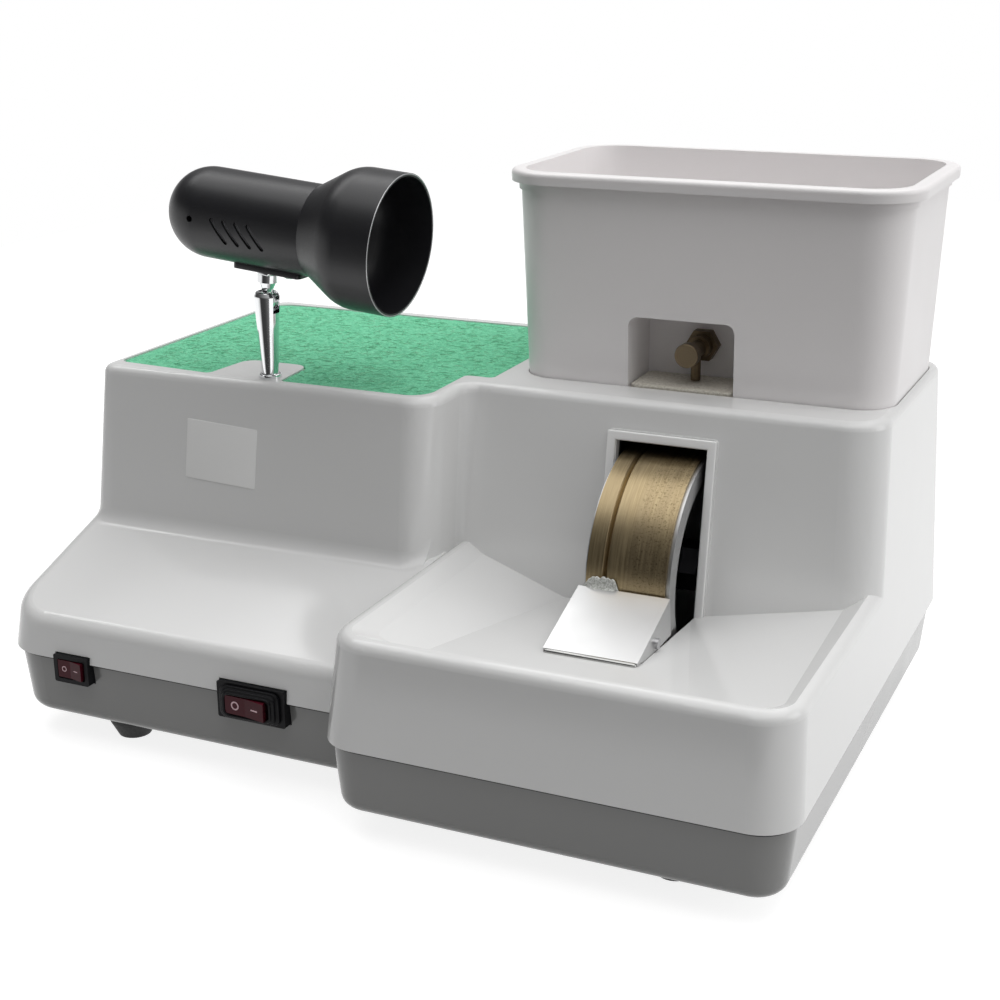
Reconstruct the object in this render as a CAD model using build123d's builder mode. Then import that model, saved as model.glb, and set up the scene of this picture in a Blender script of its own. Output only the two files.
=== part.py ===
# Bench machine for shaping spectacle lenses by hand, in millimetres, +Z up.
# The origin is at the centre of the overall footprint, on the surface that the feet stand on.
# The operator stands on the -Y side, with the lamp and motor on the left and the wheel on the right.
import os
from math import atan2, cos, degrees, radians, sin

from build123d import *

# Overall form of the two housing shells
body_width = 431
body_depth = 310
left_width = 207
nose_setback = 32
foot_height = 14
parting_height = 49
rim_height = 100.5
crease_height = 98
top_height = 181.5
shell_wall = 3
fit_gap = 0.3
pin_gap = 0.05
overrun = 20

# Left section: nose, sloping apron and lamp block
nose_top = 69
nose_top_setback = 3
nose_draft_share = 0.135
nose_corner = 26
nose_round = 9
apron_end = 108.4
apron_depth = 200
apron_height = 62
apron_side_gap = 2
tuck_reach = 1.5
tuck_drop = 0.7
tuck_low = 72
block_reach = 5
block_front = 103.2
block_lean = 14
block_corner = 16
left_lean = 14
left_corner_low = 20
left_corner_top = 8
crease_round = 10
crease_window_share = 0.8
top_round = 5

# Right section: wheel wall and lens tray
wall_front = 137
wall_lean = 21.5
right_lean = 6.3
back_lean = 9
right_corner = 20
back_corner_low = 20
back_corner_top = 12
valley_corner_low = 2
valley_corner_top = 8
tray_front_lean = 5.5
tray_side_lean = 4.5
tray_corner = 20
rim_round = 6
rim_front = 12
rim_left = 11.5
rim_right = 7
basin_corner = 12
basin_run = 49
basin_fall = 30.5
basin_wall_extra = 1.5
tray_floor_height = 80
tray_floor_rise_share = 0.08
left_slope_gap = 20.5
left_slope_height = 79
left_slope_share = 0.339
right_slope_gap = 0.4
right_slope_share = 0.2

# Base tray
base_inset = 2.5
base_lean = 3.5
base_wall = 3
base_round = 7
base_valley = 3
parting_gap = 0.5
lip_height = 4
lip_inset = 4
lip_wall = 2
lip_break = 16
post_radius = 5.5
post_inset = 20
lug_half = 6
lug_height = 9
lug_rise = 5
lug_front_left = 78
lug_front_right = 66
lug_back_inset = 58

# Feet and screws
foot_radius = 13
foot_flat_radius = 8.5
foot_side_height = 5
foot_side_round = 6
foot_recess_radius = 4.2
foot_recess_depth = 6
foot_boss_radius = 5
foot_boss_height = 8
foot_left = 62
foot_right_inset = 62
foot_front_left = 61
foot_front_right = 40
foot_back_inset = 40
screw_radius = 2
screw_head_radius = 3.8
screw_head_height = 2.4
screw_drive_radius = 1.3
screw_drive_depth = 1.2
screw_bite = 7
screw_seat_height = 8
screw_chamfer = 1

# Grinding wheel and its slot
wheel_shift = 0.25
wheel_width = 42.5
wheel_radius = 59
axle_setback = 165
axle_height = 98
band_depth = 5
plate_left = 1
plate_right = 1.6
plate_step = 1.5
groove_start = 9
groove_width = 2.6
groove_depth = 1.8
web_width = 16
hub_rim = 6
shaft_radius = 6
shaft_chamfer = 1
collar_radius = 14
collar_width = 5
washer_radius = 13
washer_width = 2.5
nut_across = 22
nut_width = 9
shaft_tip = 2
slot_side_gap = 2
slot_top_gap = 5
slot_low = 60
slot_setback = 66
frame_width = 5
frame_proud = 1.5
frame_round = 2

# Splash box round the wheel
box_side_gap = 7
box_wall = 2.5
box_wheel_gap = 8
box_front_low = 60
box_roof = 76
box_sump_height = 30
box_sump_front = 112
box_sump_back = 205
box_knee_height = 62
ear_width = 2
ear_low = 52
ear_top = 92.5
ear_front = 78
ear_back = 92
ear_rib_height = 14
box_leg_radius = 4
box_leg_spread_x = 40
box_leg_spread_y = 76
drain_radius = 5
drain_bore = 3.5
drain_flange = 8
drain_flange_thick = 2
drain_end_height = 5
drain_setback = 158
seal_radius = 11
seal_lip_radius = 14
seal_lip = 1.5

# Polished guard and wiper
guard_sheet = 1
guard_side_gap = 0.2
guard_foot = 61
guard_foot_gap = 0.3
guard_lip = 1.4
guard_head = 104.5
guard_head_height = 103
cheek_low = 84
cheek_front = 66.4
cheek_back = 107
guard_screw_setback = 85.5
guard_screw_height = 88
guard_screw_radius = 1.5
guard_screw_head = 2.5
guard_screw_head_height = 1.6
wiper_gap = 0.4
wiper_low = 92
wiper_top = 105
wiper_front = 97

# Motor
motor_inset = 65
motor_radius = 46
motor_length = 90
motor_wall = 2
bell_length = 15
bell_wall = 4
bell_round = 6
bell_bore_gap = 2
bearing_radius = 16
bearing_width = 10
bearing_wall = 4
bearing_ring = 3.5
bearing_seal_step = 0.6
stator_length = 62
stator_bore = 28
winding_overhang = 9
winding_inset = 4
winding_wall = 10
rotor_gap = 0.6
rotor_overhang = 3
shaft_rear = 12
fan_radius = 34
fan_hub_radius = 12
fan_width = 9
fan_blades = 7
fan_blade_thick = 2
cowl_radius = 40
cowl_length = 17
cowl_wall = 1.5
cowl_vent_radius = 4
cowl_vent_circle = 24
cowl_vents = 8
cradle_thick = 4
cradle_width = 84
cradle_length = 80
cradle_height = 22
saddle_width = 12
saddle_spread = 50
saddle_half = 32
cradle_bolt_radius = 2.5
cradle_bolt_head = 4.5
cradle_bolt_head_height = 3
cradle_pad_radius = 7
cradle_bolt_spread_x = 64
cradle_bolt_spread_y = 74
capacitor_radius = 17
capacitor_length = 62
capacitor_left = 34
capacitor_setback = 88
capacitor_clearance = 1
capacitor_chamfer = 1.5
terminal_radius = 2
terminal_height = 5
terminal_spread = 12
capacitor_rib = 4
capacitor_rib_height = 12
capacitor_rib_spread = 40

# Work lamp
post_left = 113
post_setback = 130
post_height = 39.5
post_foot_radius = 4.4
post_top_radius = 6.6
post_shoulder = 3
post_cap_rise = 5.5
post_cap_radius = 5.4
post_ring_radius = 5.9
post_ring_height = 2
post_thread_radius = 4
post_thread_length = 12
post_nut_across = 13
post_nut_height = 5
ball_radius = 4.8
ball_gap = 0.1
neck_radius = 2.6
neck_room = 0.5
collar_height = 4
collar_wide = 5.2
lamp_dip = 5.45
lamp_drop = 41
lamp_radius = 23.1
lamp_wall = 1.5
lamp_tail = 32.4
lamp_seam = 29.2
seam_lap = 6
shade_radius = 35.2
shade_shoulder = 49.4
shade_rim = 74.45
shade_wall = 1.6
shade_bend = 20
vent_count = 4
vent_length = 15
vent_width = 2.2
vent_pitch = 7
vent_start = 16
vent_slant = 35
vent_drop = 4
lamp_peep_radius = 1.6
bracket_length = 50
bracket_width = 15
bracket_thick = 2
bracket_flat = 3.4
bracket_shift = 4
bracket_screw_shift = 13
bracket_screw_radius = 2
bracket_screw_head = 3.4
bracket_screw_dome = 2
dome_share = 0.8
socket_radius = 13
socket_back = -12
socket_length = 28
socket_flange_thick = 3
bulb_radius = 11
bulb_neck = 8
bulb_length = 24

# Water tank and its tap
tank_left_gap = 18.7
tank_right_gap = 5.5
tank_front = 179.3
tank_back_gap = 10
tank_taper = 4.2
tank_top = 286.7
tank_wall = 2.5
tank_floor = 3
tank_corner_low = 18
tank_corner_top = 22
tank_foot_round = 2
rim_out = 4.7
rim_tall = 6
rim_hook = 2.5
rim_bead = 2.2
rim_step_tall = 4
rim_step_out = 1.2
seat_depth = 2.5
seat_gap = 0.5
notch_shift = 1.25
notch_width = 55
notch_top = 217.5
notch_depth = 31
notch_corner = 5
tap_shift = 1.25
tap_height = 199.5
tap_radius = 4.2
tap_bore = 2.2
tap_nose = 24
tap_tail = 14
tap_chamfer = 0.5
tap_nut_across = 15
tap_nut_width = 6
tap_shoulder_radius = 6
tap_shoulder_width = 5
knob_radius = 6.1
knob_width = 6
knob_round = 0.6
knob_stem_radius = 2
knob_stem_length = 5
knob_gap = 0.4
locknut_width = 4
tap_washer_width = 1.5
tap_washer_radius = 8.5
spout_radius = 2.5
spout_bore = 1.5
spout_setback = 14
spout_low = 183.8
pad_height = 4.2
pad_gap = 0.8
pad_corner = 3
drip_hole_radius = 4

# Work mat
mat_thick = 1.7
mat_recess = 2
mat_gap = 0.5
mat_left = 19.5
mat_front_left = 128
mat_front_right = 124
mat_back_inset = 19
mat_side_inset = 7
mat_tank_gap = 5.2
mat_bend = 172
mat_corner = 12
mat_front_corner = 6
mat_notch_out = 31
mat_notch_in = 6
mat_notch_back = 158
mat_notch_round = 8
mat_notch_lip = 3

# Switches
lamp_switch_left = 48.5
lamp_switch_height = 45
lamp_switch_width = 21
lamp_switch_tall = 15
motor_switch_inset = 51.5
motor_switch_height = 46
motor_switch_width = 38
motor_switch_tall = 19
boot_width = 29
boot_tall = 15
boot_proud = 6.5
bezel_proud = 1.8
bezel_edge = 2.2
bezel_round = 1
switch_plate_depth = 7
switch_body_depth = 20
switch_body_inset = 1.5
switch_gap = 0.3
rocker_gap = 0.6
rocker_swing = 7
rocker_depth = 6
rocker_proud = 0.8
rocker_back_share = 0.85

# Cable gland
gland_left = 110
gland_height = 31
gland_thread_radius = 6
gland_bore = 3.6
gland_across = 17
gland_hex_width = 4
gland_dome_radius = 7
gland_dome_width = 5
gland_nut_width = 4
gland_round = 1.5
gland_thread_length = 9
gland_pocket_width = 28
gland_pocket_tall = 22
gland_pocket_depth = 12

# Distances from the left side, the front and the floor that follow from the sizes
block_width = left_width + block_reach
wheel_centre = (left_width + body_width) / 2 - wheel_shift
left_slope_start = wheel_centre - wheel_width / 2 - slot_side_gap - left_slope_gap
right_slope_start = wheel_centre + wheel_width / 2 + slot_side_gap - right_slope_gap
tank_left = left_width + tank_left_gap
tank_right = body_width - tank_right_gap
tank_back = body_depth - tank_back_gap
notch_centre = wheel_centre - notch_shift
tap_left = wheel_centre + tap_shift
foot_right = body_width - foot_right_inset
foot_back = body_depth - foot_back_inset
lug_back = body_depth - lug_back_inset
motor_centre = left_width - motor_inset
ball_height = top_height + post_height
mat_back = body_depth - mat_back_inset
mat_side = block_width - mat_side_inset
mat_tank_side = tank_left - mat_tank_gap
mat_notch_left = post_left - mat_notch_out
mat_notch_right = post_left + mat_notch_in
motor_switch_left = left_width - motor_switch_inset

# Places that follow from the overall sizes
left_x = -body_width / 2
right_x = body_width / 2
front_y = -body_depth / 2
back_y = body_depth / 2
step_x = left_x + left_width
nose_y = front_y + nose_setback
block_x = left_x + block_width
shell_height = top_height - parting_height
floor_y = front_y + wall_front
wall_tilt = degrees(atan2(wall_lean, shell_height))
wheel_x = left_x + wheel_centre
axle_y = front_y + axle_setback
wheel_left = wheel_x - wheel_width / 2
wheel_right = wheel_x + wheel_width / 2
slot_left = wheel_left - slot_side_gap
slot_right = wheel_right + slot_side_gap
slot_width = slot_right - slot_left
slot_top = axle_height + wheel_radius + slot_top_gap
mouth_y = front_y + slot_setback
seat_height = top_height - seat_depth
base_floor_top = foot_height + base_wall
axle = Axis((0, axle_y, axle_height), (1, 0, 0))
wall_plane = Plane(
    origin=(wheel_x, floor_y, parting_height),
    x_dir=(1, 0, 0),
    z_dir=(0, -cos(radians(wall_tilt)), sin(radians(wall_tilt))),
)


def wall_y(height):
    """Front face of the wheel wall at a height."""
    return floor_y + wall_lean * (height - parting_height) / shell_height


def tray_floor(y):
    """Middle panel of the tray floor, which rises gently towards the operator."""
    return tray_floor_height + tray_floor_rise_share * (floor_y - y)


def across(y):
    """Upright plane at a depth, seen from the front, with X and Z as its own axes."""
    return Plane.XZ.offset(-y)


def drafted_block(low_z, low_points, low_radii, high_z, high_points, high_radii):
    """A block whose plan changes evenly from one rounded outline to another."""
    with BuildPart() as block:
        for z, points, radii in (
            (low_z, low_points, low_radii),
            (high_z, high_points, high_radii),
        ):
            with BuildSketch(Plane.XY.offset(z)):
                with BuildLine():
                    FilletPolyline(*points, radius=radii, close=True)
                make_face()
        loft(ruled=True)
    return block.part


def axle_profile(*points):
    """Half section of a piece turned about the axle, from places along X and radii."""
    with BuildSketch(across(axle_y)) as profile:
        with BuildLine():
            Polyline(*[(x, axle_height + radius) for x, radius in points], close=True)
        make_face()
    return profile.sketch


def side_profile(x, *points):
    """Closed outline in Y and Z on the upright plane at a place along X."""
    with BuildSketch(Plane.YZ.offset(x)) as profile:
        with BuildLine():
            Polyline(*points, close=True)
        make_face()
    return profile.sketch


# Upper housing, outer forms and the hollows inside them
def upper_block(inset, deck):
    """The tall block under the mat and tank, its sides and its deck drawn in."""
    outlines = []
    for share in (0, 1 - deck / shell_height):
        side = left_x + left_lean * share + inset
        far = right_x - right_lean * share - inset
        rear = back_y - back_lean * share - inset
        near = front_y + block_front + block_lean * share + inset
        face = floor_y + wall_lean * share + inset
        inner = block_x - inset
        outlines.append(
            [(side, near), (inner, near), (inner, face), (far, face), (far, rear), (side, rear)]
        )
    low_radii = [
        left_corner_low - inset,
        block_corner - inset,
        valley_corner_low + inset,
        right_corner - inset,
        back_corner_low - inset,
        back_corner_low - inset,
    ]
    top_radii = [
        left_corner_top - inset,
        block_corner - inset,
        valley_corner_top + inset,
        right_corner - inset,
        back_corner_top - inset,
        back_corner_top - inset,
    ]
    return drafted_block(
        parting_height, outlines[0], low_radii, top_height - deck, outlines[1], top_radii
    )


def apron_block(inset):
    """The nose and the slope that rises from it to the lamp block."""
    outlines = []
    for rise in (0, apron_height):
        side = left_x + left_lean * rise / shell_height + inset
        near = nose_y + nose_draft_share * rise + inset
        far = block_x - apron_side_gap - inset
        rear = front_y + apron_depth
        outlines.append([(side, near), (far, near), (far, rear), (side, rear)])
    radii = [nose_corner - inset, 0, 0, 0]
    block = drafted_block(
        parting_height, outlines[0], radii, parting_height + apron_height, outlines[1], radii
    )
    low_y = nose_y + nose_top_setback + inset
    low_z = nose_top - inset
    slope = atan2(crease_height - inset - low_z, front_y + apron_end - low_y)
    slope_plane = Plane(
        origin=(0, low_y, low_z), x_dir=(1, 0, 0), z_dir=(0, -sin(slope), cos(slope))
    )
    with BuildPart() as apron:
        add(block)
        split(bisect_by=slope_plane, keep=Keep.BOTTOM)
        if inset == 0:
            sheet = apron.faces().filter_by(slope_plane)[0]
            outside = sheet.edges().filter_by(
                lambda edge: edge.center().Y < rear - fit_gap and edge.center().X < far - fit_gap
            )
            fillet(outside, radius=nose_round)
    return apron.part


def tray_block(inset):
    """The box that the lens tray is sunk into."""
    rise_share = (rim_height - parting_height) / shell_height
    outlines = []
    for share in (0, 1):
        side = step_x + tray_side_lean * share + inset
        near = front_y + tray_front_lean * share + inset
        far = right_x - right_lean * rise_share * share - inset
        rear = front_y + apron_depth
        outlines.append([(side, near), (far, near), (far, rear), (side, rear)])
    radii = [tray_corner - inset, tray_corner - inset, 0, 0]
    block = drafted_block(
        parting_height, outlines[0], radii, rim_height, outlines[1], radii
    )
    with BuildPart() as tray:
        add(block)
        if inset == 0:
            rim = tray.faces().sort_by(Axis.Z)[-1]
            fillet(rim.edges().filter_by(lambda edge: edge.center().Y < rear - fit_gap), rim_round)
    return tray.part


def basin(side_grow, floor_grow):
    """The funnel of the lens tray: sloped sides and a floor of three panels."""
    side = step_x + rim_left - side_grow
    far = right_x - rim_right + side_grow
    near = front_y + rim_front - side_grow
    rear = front_y + apron_depth
    low = [
        (side + basin_run, near + basin_run),
        (far - basin_run, near + basin_run),
        (far - basin_run, rear),
        (side + basin_run, rear),
    ]
    high = [(side, near), (far, near), (far, rear), (side, rear)]
    radii = [basin_corner, basin_corner, 0, 0]
    funnel = drafted_block(rim_height - basin_fall, low, radii, rim_height, high, radii)
    middle = Plane(
        origin=(0, floor_y, tray_floor_height - floor_grow),
        x_dir=(1, 0, 0),
        z_dir=(0, tray_floor_rise_share, 1),
    )
    left = Plane(
        origin=(left_x + left_slope_start, floor_y, left_slope_height - floor_grow),
        x_dir=(0, 1, 0),
        z_dir=(left_slope_share, 0, 1),
    )
    right = Plane(
        origin=(left_x + right_slope_start, floor_y, tray_floor_height - floor_grow),
        x_dir=(0, 1, 0),
        z_dir=(-right_slope_share, tray_floor_rise_share * right_slope_share, 1),
    )
    with BuildPart() as hollow:
        add(funnel)
        with BuildSketch(Plane.XY.offset(rim_height)):
            with BuildLine():
                FilletPolyline(*high, radius=radii, close=True)
            make_face()
        extrude(amount=overrun)
        for panel in (middle, left, right):
            split(bisect_by=panel, keep=Keep.TOP)
    return hollow.part


def mat_outline(inset):
    """Outline of the mat, with a notch at the front that clears the lamp post."""
    lip_x = mat_notch_lip
    points = [
        (left_x + mat_left + inset, front_y + mat_front_left + inset),
        (left_x + mat_notch_left - lip_x, front_y + mat_front_right + inset),
        (left_x + mat_notch_left - inset, front_y + mat_notch_back + inset),
        (left_x + mat_notch_right + inset, front_y + mat_notch_back + inset),
        (left_x + mat_notch_right + lip_x, front_y + mat_front_right + inset),
        (left_x + mat_side - inset, front_y + mat_front_right + inset),
        (left_x + mat_side - inset, front_y + mat_bend + inset),
        (left_x + mat_tank_side - inset, front_y + mat_bend + inset),
        (left_x + mat_tank_side - inset, front_y + mat_back - inset),
        (left_x + mat_left + inset, front_y + mat_back - inset),
    ]
    radii = [
        mat_front_corner,
        mat_notch_lip,
        mat_notch_round,
        mat_notch_round,
        mat_notch_lip,
        mat_corner,
        mat_notch_lip,
        mat_notch_lip,
        mat_front_corner,
        mat_corner,
    ]
    with BuildSketch() as outline:
        with BuildLine():
            FilletPolyline(*points, radius=radii, close=True)
        make_face()
    return outline.sketch


lug_places = [
    (left_x + post_inset, front_y + lug_front_left),
    (left_x + post_inset, front_y + lug_back),
    (right_x - post_inset, front_y + lug_front_right),
    (right_x - post_inset, front_y + lug_back),
]
lug_bottom = parting_height + lug_rise
switch_cuts = [
    (lamp_switch_left, lamp_switch_height, lamp_switch_width, lamp_switch_tall),
    (motor_switch_left, motor_switch_height, motor_switch_width, motor_switch_tall),
]
block_outer = upper_block(0, 0)
apron_outer = apron_block(0)
tray_outer = tray_block(0)
basin_cut = basin(0, 0)
block_inner = upper_block(shell_wall, shell_wall + seat_depth)
apron_inner = apron_block(shell_wall)
tray_inner = tray_block(shell_wall)
basin_outer = basin(shell_wall + basin_wall_extra, shell_wall)

with BuildPart() as rounded_block:
    add(block_outer)
    fillet(rounded_block.faces().sort_by(Axis.Z)[-1].edges(), radius=top_round)

with BuildPart() as housing_cavity:
    add(tray_inner)
    add(basin_outer, mode=Mode.SUBTRACT)
    add(apron_inner)
    add(block_inner)

with BuildPart() as slot_cut:
    with BuildSketch(Plane.XY.offset(slot_low)):
        with Locations((wheel_x, (mouth_y + axle_y) / 2)):
            Rectangle(slot_width, axle_y - mouth_y)
    extrude(amount=slot_top - slot_low)

post_x = left_x + post_left
post_y = front_y + post_setback
notch_x = left_x + notch_centre
notch_back_y = front_y + tank_front + tank_taper + notch_depth
tap_x = left_x + tap_left
spout_y = notch_back_y - spout_setback
frame_low = (tray_floor_height - parting_height) / cos(radians(wall_tilt))
frame_high = (slot_top + frame_width - parting_height) / cos(radians(wall_tilt))

with BuildPart() as slot_frame:
    with BuildSketch(wall_plane.offset(-frame_proud)):
        with Locations((0, (frame_low + frame_high) / 2)):
            RectangleRounded(slot_width + 2 * frame_width, frame_high - frame_low, frame_round)
    extrude(amount=2 * frame_proud)

with BuildPart() as housing_lugs:
    for x, y in lug_places:
        side = -1 if x < 0 else 1
        reach = post_inset + lug_half - shell_wall / 2
        with Locations((x + side * (lug_half - reach / 2) * -1, y, lug_bottom)):
            Box(reach, 2 * lug_half, lug_height, align=(Align.CENTER, Align.CENTER, Align.MIN))

with BuildPart() as switch_cut:
    for place, height, width, tall in switch_cuts:
        with Locations((left_x + place, nose_y, height)):
            Box(width + 2 * switch_gap, 2 * switch_body_depth, tall + 2 * switch_gap)


def tank_outline(grow, share):
    """Outline of the tank at a share of its height, pushed outwards."""
    draft = tank_taper * (1 - share)
    low_x = left_x + tank_left + draft - grow
    high_x = left_x + tank_right - draft + grow
    low_y = front_y + tank_front + draft - grow
    high_y = front_y + tank_back - draft + grow
    return [(low_x, low_y), (high_x, low_y), (high_x, high_y), (low_x, high_y)]


def tank_prism(low_z, high_z, grow):
    """A piece of the tank's tapering box between two heights."""
    tall = tank_top - seat_height
    low_share = (low_z - seat_height) / tall
    high_share = (high_z - seat_height) / tall
    low_corner = tank_corner_low + grow + (tank_corner_top - tank_corner_low) * low_share
    high_corner = tank_corner_low + grow + (tank_corner_top - tank_corner_low) * high_share
    return drafted_block(
        low_z,
        tank_outline(grow, low_share),
        [low_corner] * 4,
        high_z,
        tank_outline(grow, high_share),
        [high_corner] * 4,
    )


# The last strip of the slope, between the lamp block and the side of the tray
slope_share = (crease_height - nose_top) / (apron_end - nose_setback - nose_top_setback)
tuck_top = rim_height - tuck_drop
tuck_front = front_y + apron_end - (crease_height - tuck_low) / slope_share
tuck_crest = front_y + apron_end + (tuck_top - crease_height) / slope_share
with BuildPart() as apron_tuck:
    tuck_side = side_profile(
        block_x - 2 * apron_side_gap,
        (tuck_front, tuck_low),
        (tuck_crest, tuck_top),
        (tuck_crest + block_corner, tuck_top),
        (tuck_crest + block_corner, tuck_low),
    )
    extrude(tuck_side, amount=2 * apron_side_gap + tuck_reach)

seat_cut = tank_prism(seat_height, top_height + seat_depth, seat_gap)

with BuildPart() as deck_holes:
    with Locations((tap_x, spout_y, top_height)):
        Cylinder(drip_hole_radius, overrun)
    with Locations((post_x, post_y, top_height)):
        Cylinder(post_thread_radius + pin_gap, overrun)

with BuildPart() as mat_recess_cut:
    with BuildSketch(Plane.XY.offset(top_height - mat_recess)):
        add(mat_outline(0))
    extrude(amount=overrun)

with BuildPart() as upper_housing:
    add(tray_outer)
    add(basin_cut, mode=Mode.SUBTRACT)
    add(apron_outer)
    add(rounded_block.part)
    creases = upper_housing.edges().filter_by(
        lambda edge: abs(edge.center().Y - front_y - apron_end) < crease_round
        and abs(edge.center().Z - crease_height) < crease_round * crease_window_share
        and edge.center().X < block_x - apron_side_gap / 2
    )
    fillet(creases, radius=crease_round)
    add(apron_tuck.part)
    add(slot_frame.part)
    add(housing_cavity.part, mode=Mode.SUBTRACT)
    add(slot_cut.part, mode=Mode.SUBTRACT)
    add(housing_lugs.part)
    add(seat_cut, mode=Mode.SUBTRACT)
    add(mat_recess_cut.part, mode=Mode.SUBTRACT)
    add(deck_holes.part, mode=Mode.SUBTRACT)
    add(switch_cut.part, mode=Mode.SUBTRACT)
    with Locations(*[(x, y, lug_bottom) for x, y in lug_places]):
        Cylinder(
            screw_radius + pin_gap,
            screw_bite,
            align=(Align.CENTER, Align.CENTER, Align.MIN),
            mode=Mode.SUBTRACT,
        )
upper_housing.part.label = "upper_housing"


# Base tray: drafted floor and walls, inner lip, screw posts and pads
def base_outline(inset):
    """Plan of the base at an inset from the lower edge of the housing."""
    return [
        (left_x + inset, nose_y + inset),
        (step_x + inset, nose_y + inset),
        (step_x + inset, front_y + inset),
        (right_x - inset, front_y + inset),
        (right_x - inset, back_y - inset),
        (left_x + inset, back_y - inset),
    ]


def base_block(low_z, low_inset, high_z, high_inset):
    """A band of the base whose walls lie at two insets from the housing's outline."""
    corners = [nose_corner, -base_valley] + [tray_corner] * 2 + [back_corner_low] * 2
    low_radii = [abs(corner - low_inset) for corner in corners]
    high_radii = [abs(corner - high_inset) for corner in corners]
    return drafted_block(
        low_z,
        base_outline(low_inset),
        low_radii,
        high_z,
        base_outline(high_inset),
        high_radii,
    )


base_top = parting_height - parting_gap
base_low_inset = base_inset + base_lean
base_outer = base_block(foot_height, base_low_inset, base_top, base_inset)
base_inner = base_block(
    base_floor_top, base_low_inset + base_wall, base_top, base_inset + base_wall
)
lip_outer = base_block(base_top - lip_height, lip_inset, parting_height + lip_height, lip_inset)
lip_inner = base_block(
    base_top - lip_height, lip_inset + lip_wall, parting_height + lip_height, lip_inset + lip_wall
)
foot_places = [
    (left_x + foot_left, front_y + foot_front_left),
    (left_x + foot_right, front_y + foot_front_right),
    (left_x + foot_right, front_y + foot_back),
    (left_x + foot_left, front_y + foot_back),
]
motor_x = left_x + motor_centre
bolt_grid = GridLocations(cradle_bolt_spread_x, cradle_bolt_spread_y, 2, 2).locations
cradle_bolt_places = [
    (motor_x + spot.position.X, axle_y + spot.position.Y) for spot in bolt_grid
]
drain_place = (wheel_x, front_y + drain_setback)
capacitor_x = left_x + capacitor_left + capacitor_length / 2
capacitor_y = front_y + capacitor_setback
capacitor_z = base_floor_top + capacitor_clearance + capacitor_radius
gland_x = left_x + gland_left
gland_y = back_y - gland_pocket_depth
from_floor = (Align.CENTER, Align.CENTER, Align.MIN)

with BuildPart() as base_form:
    add(base_outer)
    fillet(base_form.faces().sort_by(Axis.Z)[0].edges(), radius=base_round)

with BuildPart() as base_lip:
    add(lip_outer)
    add(lip_inner, mode=Mode.SUBTRACT)
    with Locations((step_x + shell_wall / 2, nose_y + shell_wall, parting_height)):
        Box(lip_break, lip_break, lip_break, mode=Mode.SUBTRACT)

with BuildPart() as gland_block:
    with Locations((gland_x, gland_y - base_wall, gland_height)):
        Box(
            gland_pocket_width + 2 * base_wall,
            gland_pocket_depth + base_wall,
            gland_pocket_tall + 2 * base_wall,
            align=(Align.CENTER, Align.MIN, Align.CENTER),
        )
    add(base_form.part, mode=Mode.INTERSECT)

with BuildPart() as base_tray:
    add(base_form.part)
    add(base_inner, mode=Mode.SUBTRACT)
    add(base_lip.part)
    add(gland_block.part)
    with Locations(*[(x, y, base_floor_top) for x, y in lug_places]):
        Cylinder(post_radius, lug_bottom - base_floor_top, align=from_floor)
    with Locations(*[(x, y, base_floor_top) for x, y in foot_places]):
        Cylinder(foot_boss_radius, foot_boss_height, align=from_floor)
    with Locations(*[(x, y, base_floor_top) for x, y in cradle_bolt_places]):
        Cylinder(cradle_pad_radius, cradle_height - base_floor_top, align=from_floor)
    for side in (-1, 1):
        with Locations(
            (capacitor_x + side * capacitor_rib_spread / 2, capacitor_y, base_floor_top)
        ):
            Box(capacitor_rib, 2 * capacitor_radius, capacitor_rib_height, align=from_floor)
    with Locations((gland_x, back_y, gland_height)):
        Box(gland_pocket_width, 2 * gland_pocket_depth, gland_pocket_tall, mode=Mode.SUBTRACT)
    with Locations(Location((gland_x, gland_y, gland_height), (90, 0, 0))):
        Cylinder(gland_thread_radius + pin_gap, 2 * gland_pocket_depth, mode=Mode.SUBTRACT)
    with Locations(Location((capacitor_x, capacitor_y, capacitor_z), (0, 90, 0))):
        Cylinder(capacitor_radius + pin_gap, capacitor_length, mode=Mode.SUBTRACT)
    with Locations(*[(x, y, foot_height) for x, y in lug_places]):
        Cylinder(
            screw_radius + 2 * pin_gap,
            lug_bottom - foot_height,
            align=from_floor,
            mode=Mode.SUBTRACT,
        )
        Cylinder(
            screw_head_radius + fit_gap, screw_seat_height, align=from_floor, mode=Mode.SUBTRACT
        )
    with Locations(*[(x, y, foot_height) for x, y in foot_places]):
        Cylinder(
            screw_radius + pin_gap,
            base_wall + foot_boss_height - screw_drive_depth,
            align=from_floor,
            mode=Mode.SUBTRACT,
        )
    with Locations(*[(x, y, foot_height + screw_drive_depth) for x, y in cradle_bolt_places]):
        Cylinder(
            cradle_bolt_radius + pin_gap, cradle_height, align=from_floor, mode=Mode.SUBTRACT
        )
    with Locations((*drain_place, base_floor_top)):
        Cylinder(drain_radius + pin_gap, 2 * overrun, mode=Mode.SUBTRACT)
    add(switch_cut.part, mode=Mode.SUBTRACT)
base_tray.part.label = "base_tray"


# Feet and the screws that close the case
def foot():
    """A domed rubber foot with a pocket for its screw."""
    with BuildPart() as body:
        with BuildSketch(Plane.XZ):
            with BuildLine():
                FilletPolyline(
                    (0, 0),
                    (foot_flat_radius, 0),
                    (foot_radius, foot_height - foot_side_height),
                    (foot_radius, foot_height),
                    (0, foot_height),
                    radius=[0, 0, foot_side_round, 0, 0],
                    close=True,
                )
            make_face()
        revolve(axis=Axis.Z)
    return body.part


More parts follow.
